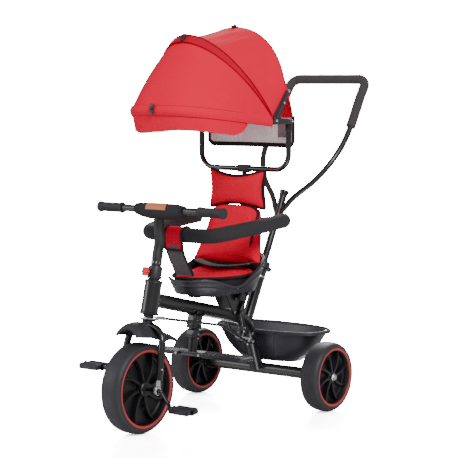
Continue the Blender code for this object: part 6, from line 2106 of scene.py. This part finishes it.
# ------------------------------------------------------------------------------------- parent handle
@dataclass
class PushHandle:
    """Sleeve on the frame, the handle's shaft, its locking clamp, the two arms and the foam grip."""

    shaft_radius: float = 0.0110
    sleeve_low: float = 0.024
    sleeve_high: float = 0.232
    junction: float = 0.448
    cap: float = 0.485
    half: float = 0.140
    top_y: float = 0.366
    top_z: float = 0.965
    arm_radius: float = 0.0085
    foam_radius: float = 0.0145

    def sleeve(self) -> None:
        """The outer tube, its end bushes, the pale plug and the clamp with its knob and red tab."""
        low, high, r = self.sleeve_low, self.sleeve_high, 0.0165
        tube = lathe([(0.0117, low), (r, low), (r + 0.0006, low + 0.001), (r + 0.0006, low + 0.010), (r, low + 0.011),
                      (r, high - 0.012), (r + 0.0008, high - 0.010), (r + 0.0008, high - 0.001), (r, high),
                      (0.0117, high)], 56)
        piece("handle_socket", tube, FORK_PAINT, "frame", ["handle_sleeve"], HANDLE, 30)
        clamp = lathe([(0.0117, high + 0.001), (0.0196, high + 0.001), (0.0208, high + 0.003),
                       (0.0208, high + 0.017), (0.0190, high + 0.0225), (0.0150, high + 0.0240),
                       (0.0117, high + 0.0240)], 56)
        stem = placed(lathe([(0, 0.016), (0.0046, 0.016), (0.0046, 0.028), (0.0076, 0.029), (0.0082, 0.031),
                             (0.0082, 0.0365), (0.0066, 0.0392), (0, 0.0396)], 32),
                      Matrix.Translation((0, 0, high + 0.011)) @ Matrix.Rotation(math.radians(-90), 4, "X"))
        piece("handle_clamp", joined([clamp, stem]), SHELL_PLASTIC, "frame", ["sleeve_clamp"],
              HANDLE, 30)
        tab = brick((-0.003, 0.0165, high + 0.026), (0.003, 0.0330, high + 0.030), 0.0012)
        piece("handle_red_tab", tab, RED_PLASTIC, "frame", (), HANDLE)
        plug = placed(lathe([(0, 0.0155), (0.0052, 0.0155), (0.0058, 0.0165), (0.0054, 0.0190), (0, 0.0196)], 28),
                      Matrix.Translation((0, 0, 0.128)) @ Matrix.Rotation(math.radians(62), 4, "Z")
                      @ Matrix.Rotation(math.radians(-90), 4, "X"))
        piece("handle_plug", plug, BLUE_PLUG, "frame", (), HANDLE)
        ring = lathe([(r + 0.0002, high - 0.030), (r + 0.0016, high - 0.030), (r + 0.0016, high - 0.024),
                      (r + 0.0002, high - 0.024)], 48)
        piece("handle_socket_band", ring, ZINC, "frame", (), HANDLE)

    def shaft(self) -> None:
        """The shaft with its flared, closed cap and the spring button."""
        r, cap = self.shaft_radius, self.cap
        tube = lathe([(0.0096, 0.0), (r, 0.0), (r, cap - 0.016), (r + 0.0020, cap - 0.008), (r + 0.0036, cap - 0.001),
                      (r + 0.0036, cap + 0.002), (r + 0.0026, cap + 0.003), (0, cap + 0.0030), (0, cap),
                      (0.0096, cap)], 56)
        button = placed(lathe([(0, 0.0100), (0.0034, 0.0100), (0.0034, 0.0124), (0.0024, 0.0136), (0, 0.0140)], 24),
                        Matrix.Translation((0, 0, 0.330)) @ Matrix.Rotation(math.radians(90), 4, "X"))
        piece("handle_stalk", joined([tube, button]), TUBE_PAINT, "push_handle", ["handle_shaft"],
              HANDLE, 30)

    def loop_line(self) -> list[Vector]:
        """Centre line of the two arms and the top bar, in the handle's own coordinates."""
        base = HANDLE_FOOT - Vector((0, AXLE_Y, 0))
        top = Matrix.Rotation(HANDLE_LEAN, 3, "X") @ (Vector((0, self.top_y, self.top_z)) - base)
        s = self.junction
        side = flowing([(self.shaft_radius * 0.7, 0.0, s - 0.030), (0.040, 0.002, s + 0.022),
                        (0.094, 0.008, s + 0.084), (0.131, top.y * 0.30, s + 0.160),
                        (0.143, top.y * 0.60, s + 0.250), (self.half, top.y * 0.86, top.z - 0.060)], 61)
        whole = side + [Vector((self.half, top.y, top.z))]
        other = [Vector((-p.x, p.y, p.z)) for p in whole[::-1]]
        corner = rounded([whole[-2], whole[-1], other[0], other[1]], 0.030, 6)
        return side + corner[1:-1] + other[1:]

    def arms(self) -> None:
        """The bent arms, weld beads where they meet the shaft, and the long foam grip."""
        line = self.loop_line()
        piece("handle_loop", sweep(line, self.arm_radius, 32), TUBE_PAINT, "push_handle",
              ["handle_arms"], HANDLE)
        beads = []
        for s in (1, -1):
            ring = [Vector((s * 0.0104, 0.0, self.junction - 0.026))
                    + Vector((s * 0.0030 * math.cos(a), 0.0088 * math.cos(a + math.pi / 2),
                              0.0125 * math.sin(a + math.pi / 2))) for a in [2 * math.pi * k / 32 for k in range(32)]]
            beads.append(sweep(ring, 0.0018, 8, True))
        piece("handle_welds", joined(beads), TUBE_PAINT, "push_handle", (), HANDLE)
        lengths = [0.0]
        for p, q in zip(line, line[1:]):
            lengths.append(lengths[-1] + (q - p).length)
        total = lengths[-1]
        start = total / 2 - 0.303
        dense = []
        for k in range(161):
            want = start + (total - 2 * start) * k / 160
            j = max(i for i in range(len(line) - 1) if lengths[i] <= want)
            dense.append(line[j].lerp(line[j + 1], (want - lengths[j]) / max(1e-9, lengths[j + 1] - lengths[j])))

        def roll(share: float) -> float:
            """Softly rounded ends and a faint unevenness."""
            end = min(share, 1 - share) * (total - 2 * start)
            soft = math.sqrt(min(1.0, (end + 0.0015) / 0.005)) if end < 0.0035 else 1.0
            return max(0.62, soft) * (1 + 0.010 * math.sin(share * 61))

        foam = piece("handle_foam", sweep(dense, self.foam_radius, 32, swell=roll), HANDLE_FOAM, "push_handle",
                     ["handle_grip"], HANDLE, 60)

    def build(self) -> None:
        """Makes the handle."""
        self.sleeve()
        self.shaft()
        self.arms()


# --------------------------------------------------------------------------------------------- stage
@dataclass
class Studio:
    """Camera, plain pale floor and soft light."""

    camera_place: tuple[float, float, float] = (2.8845, -3.9713, 0.9678)
    focal: float = 129.73
    floor_gain: float = 26.0
    backdrop: float = 18.0
    ambient: float = 0.42

    def camera(self) -> None:
        """A long lens, a little above the hood's hinges, on the rider's left and ahead."""
        made = bpy.data.cameras.new("camera")
        made.lens = self.focal
        made.sensor_width = 36.0
        made.clip_end = 60.0
        holder = bpy.data.objects.new("camera", made)
        bpy.context.collection.objects.link(holder)
        back = Vector((0.60047, -0.79448, 0.09083)).normalized()
        right = Vector((0.79777, 0.60296, 0.0)).normalized()
        up = back.cross(right)
        turn = Matrix((right, up, back)).transposed().to_4x4()
        place = Vector(self.camera_place) + Vector((0, AXLE_Y, 0))
        holder.matrix_world = Matrix.Translation(place) @ turn
        bpy.context.scene.camera = holder

    def floor(self) -> None:
        """A wide flat pale floor that glows brighter far behind, so that it reads as a backdrop."""
        bm = bmesh.new()
        bmesh.ops.create_grid(bm, x_segments=2, y_segments=2, size=14.0)
        mesh = bpy.data.meshes.new("floor")
        bm.to_mesh(mesh)
        bm.free()
        made = bpy.data.materials.new("paper_floor")
        made.use_nodes = True
        tree = made.node_tree
        shader = tree.nodes["Principled BSDF"]
        seen = add_node(tree, "LightPath").outputs["Is Camera Ray"]
        gain = add_node(tree, "MapRange", {"Value": seen, "To Min": 0.85, "To Max": self.floor_gain})
        white = add_node(tree, "CombineColor", {0: gain.outputs[0], 1: gain.outputs[0], 2: gain.outputs[0]})
        tree.links.new(white.outputs[0], shader.inputs["Base Color"])
        shader.inputs["Roughness"].default_value = 0.6
        place = add_node(tree, "TexCoord").outputs["Object"]
        away = add_node(tree, "VectorMath", {0: place}, operation="LENGTH")
        far = add_node(tree, "MapRange", {"Value": away.outputs["Value"], "From Min": 0.7, "From Max": 1.8,
                                          "To Min": 0.0, "To Max": self.backdrop})
        glow = add_node(tree, "Math", {0: far.outputs[0], 1: seen}, operation="MULTIPLY")
        shader.inputs["Emission Color"].default_value = linear("FFFFFF")
        tree.links.new(glow.outputs[0], shader.inputs["Emission Strength"])
        gloss = add_node(tree, "BsdfGlossy", {"Color": white.outputs[0], "Roughness": 0.22})
        blend = add_node(tree, "MixShader", {0: 0.5, 1: shader.outputs[0], 2: gloss.outputs[0]})
        tree.links.new(blend.outputs[0], tree.nodes["Material Output"].inputs["Surface"])
        mesh.materials.append(made)
        floor = bpy.data.objects.new("floor", mesh)
        bpy.context.collection.objects.link(floor)

    def light(self, name: str, place: tuple[float, float, float], size: float, power: float,
              aim: tuple[float, float, float] = (0, 0, 0.45)) -> None:
        """A soft square light.

        Args:
            name: its name.
            place: where it hangs.
            size: its width.
            power: its strength in watts.
            aim: what it points at.
        """
        lamp = bpy.data.lights.new(name, "AREA")
        lamp.size = size
        lamp.energy = power
        holder = bpy.data.objects.new(name, lamp)
        bpy.context.collection.objects.link(holder)
        holder.location = place
        holder.rotation_euler = (Vector(aim) - Vector(place)).to_track_quat("-Z", "Y").to_euler()

    def build(self) -> None:
        """Sets the stage."""
        self.camera()
        self.floor()
        world = bpy.data.worlds.new("studio")
        bpy.context.scene.world = world
        world.use_nodes = True
        sky = world.node_tree.nodes["Background"]
        sky.inputs["Color"].default_value = linear("FFFFFF")
        seen = add_node(world.node_tree, "LightPath").outputs["Is Camera Ray"]
        strength = add_node(world.node_tree, "MapRange", {"Value": seen, "To Min": self.ambient,
                                                          "To Max": self.backdrop})
        world.node_tree.links.new(strength.outputs[0], sky.inputs["Strength"])
        self.light("key", (3.4, -2.2, 3.4), 1.8, 170)
        self.light("fill", (-3.0, -3.4, 2.0), 2.4, 55)
        self.light("rim", (-1.6, 3.2, 2.8), 1.6, 110)


def main() -> None:
    """Builds the looks and reports each piece."""
    logging.basicConfig(level=logging.INFO, format="%(message)s")
    Studio().build()
    Wheels().build()
    Steering().build()
    Chassis().build()
    Seat().build()
    GuardRing().build()
    Canopy().build()
    PushHandle().build()
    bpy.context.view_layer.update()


if __name__ == "__main__":
    main()
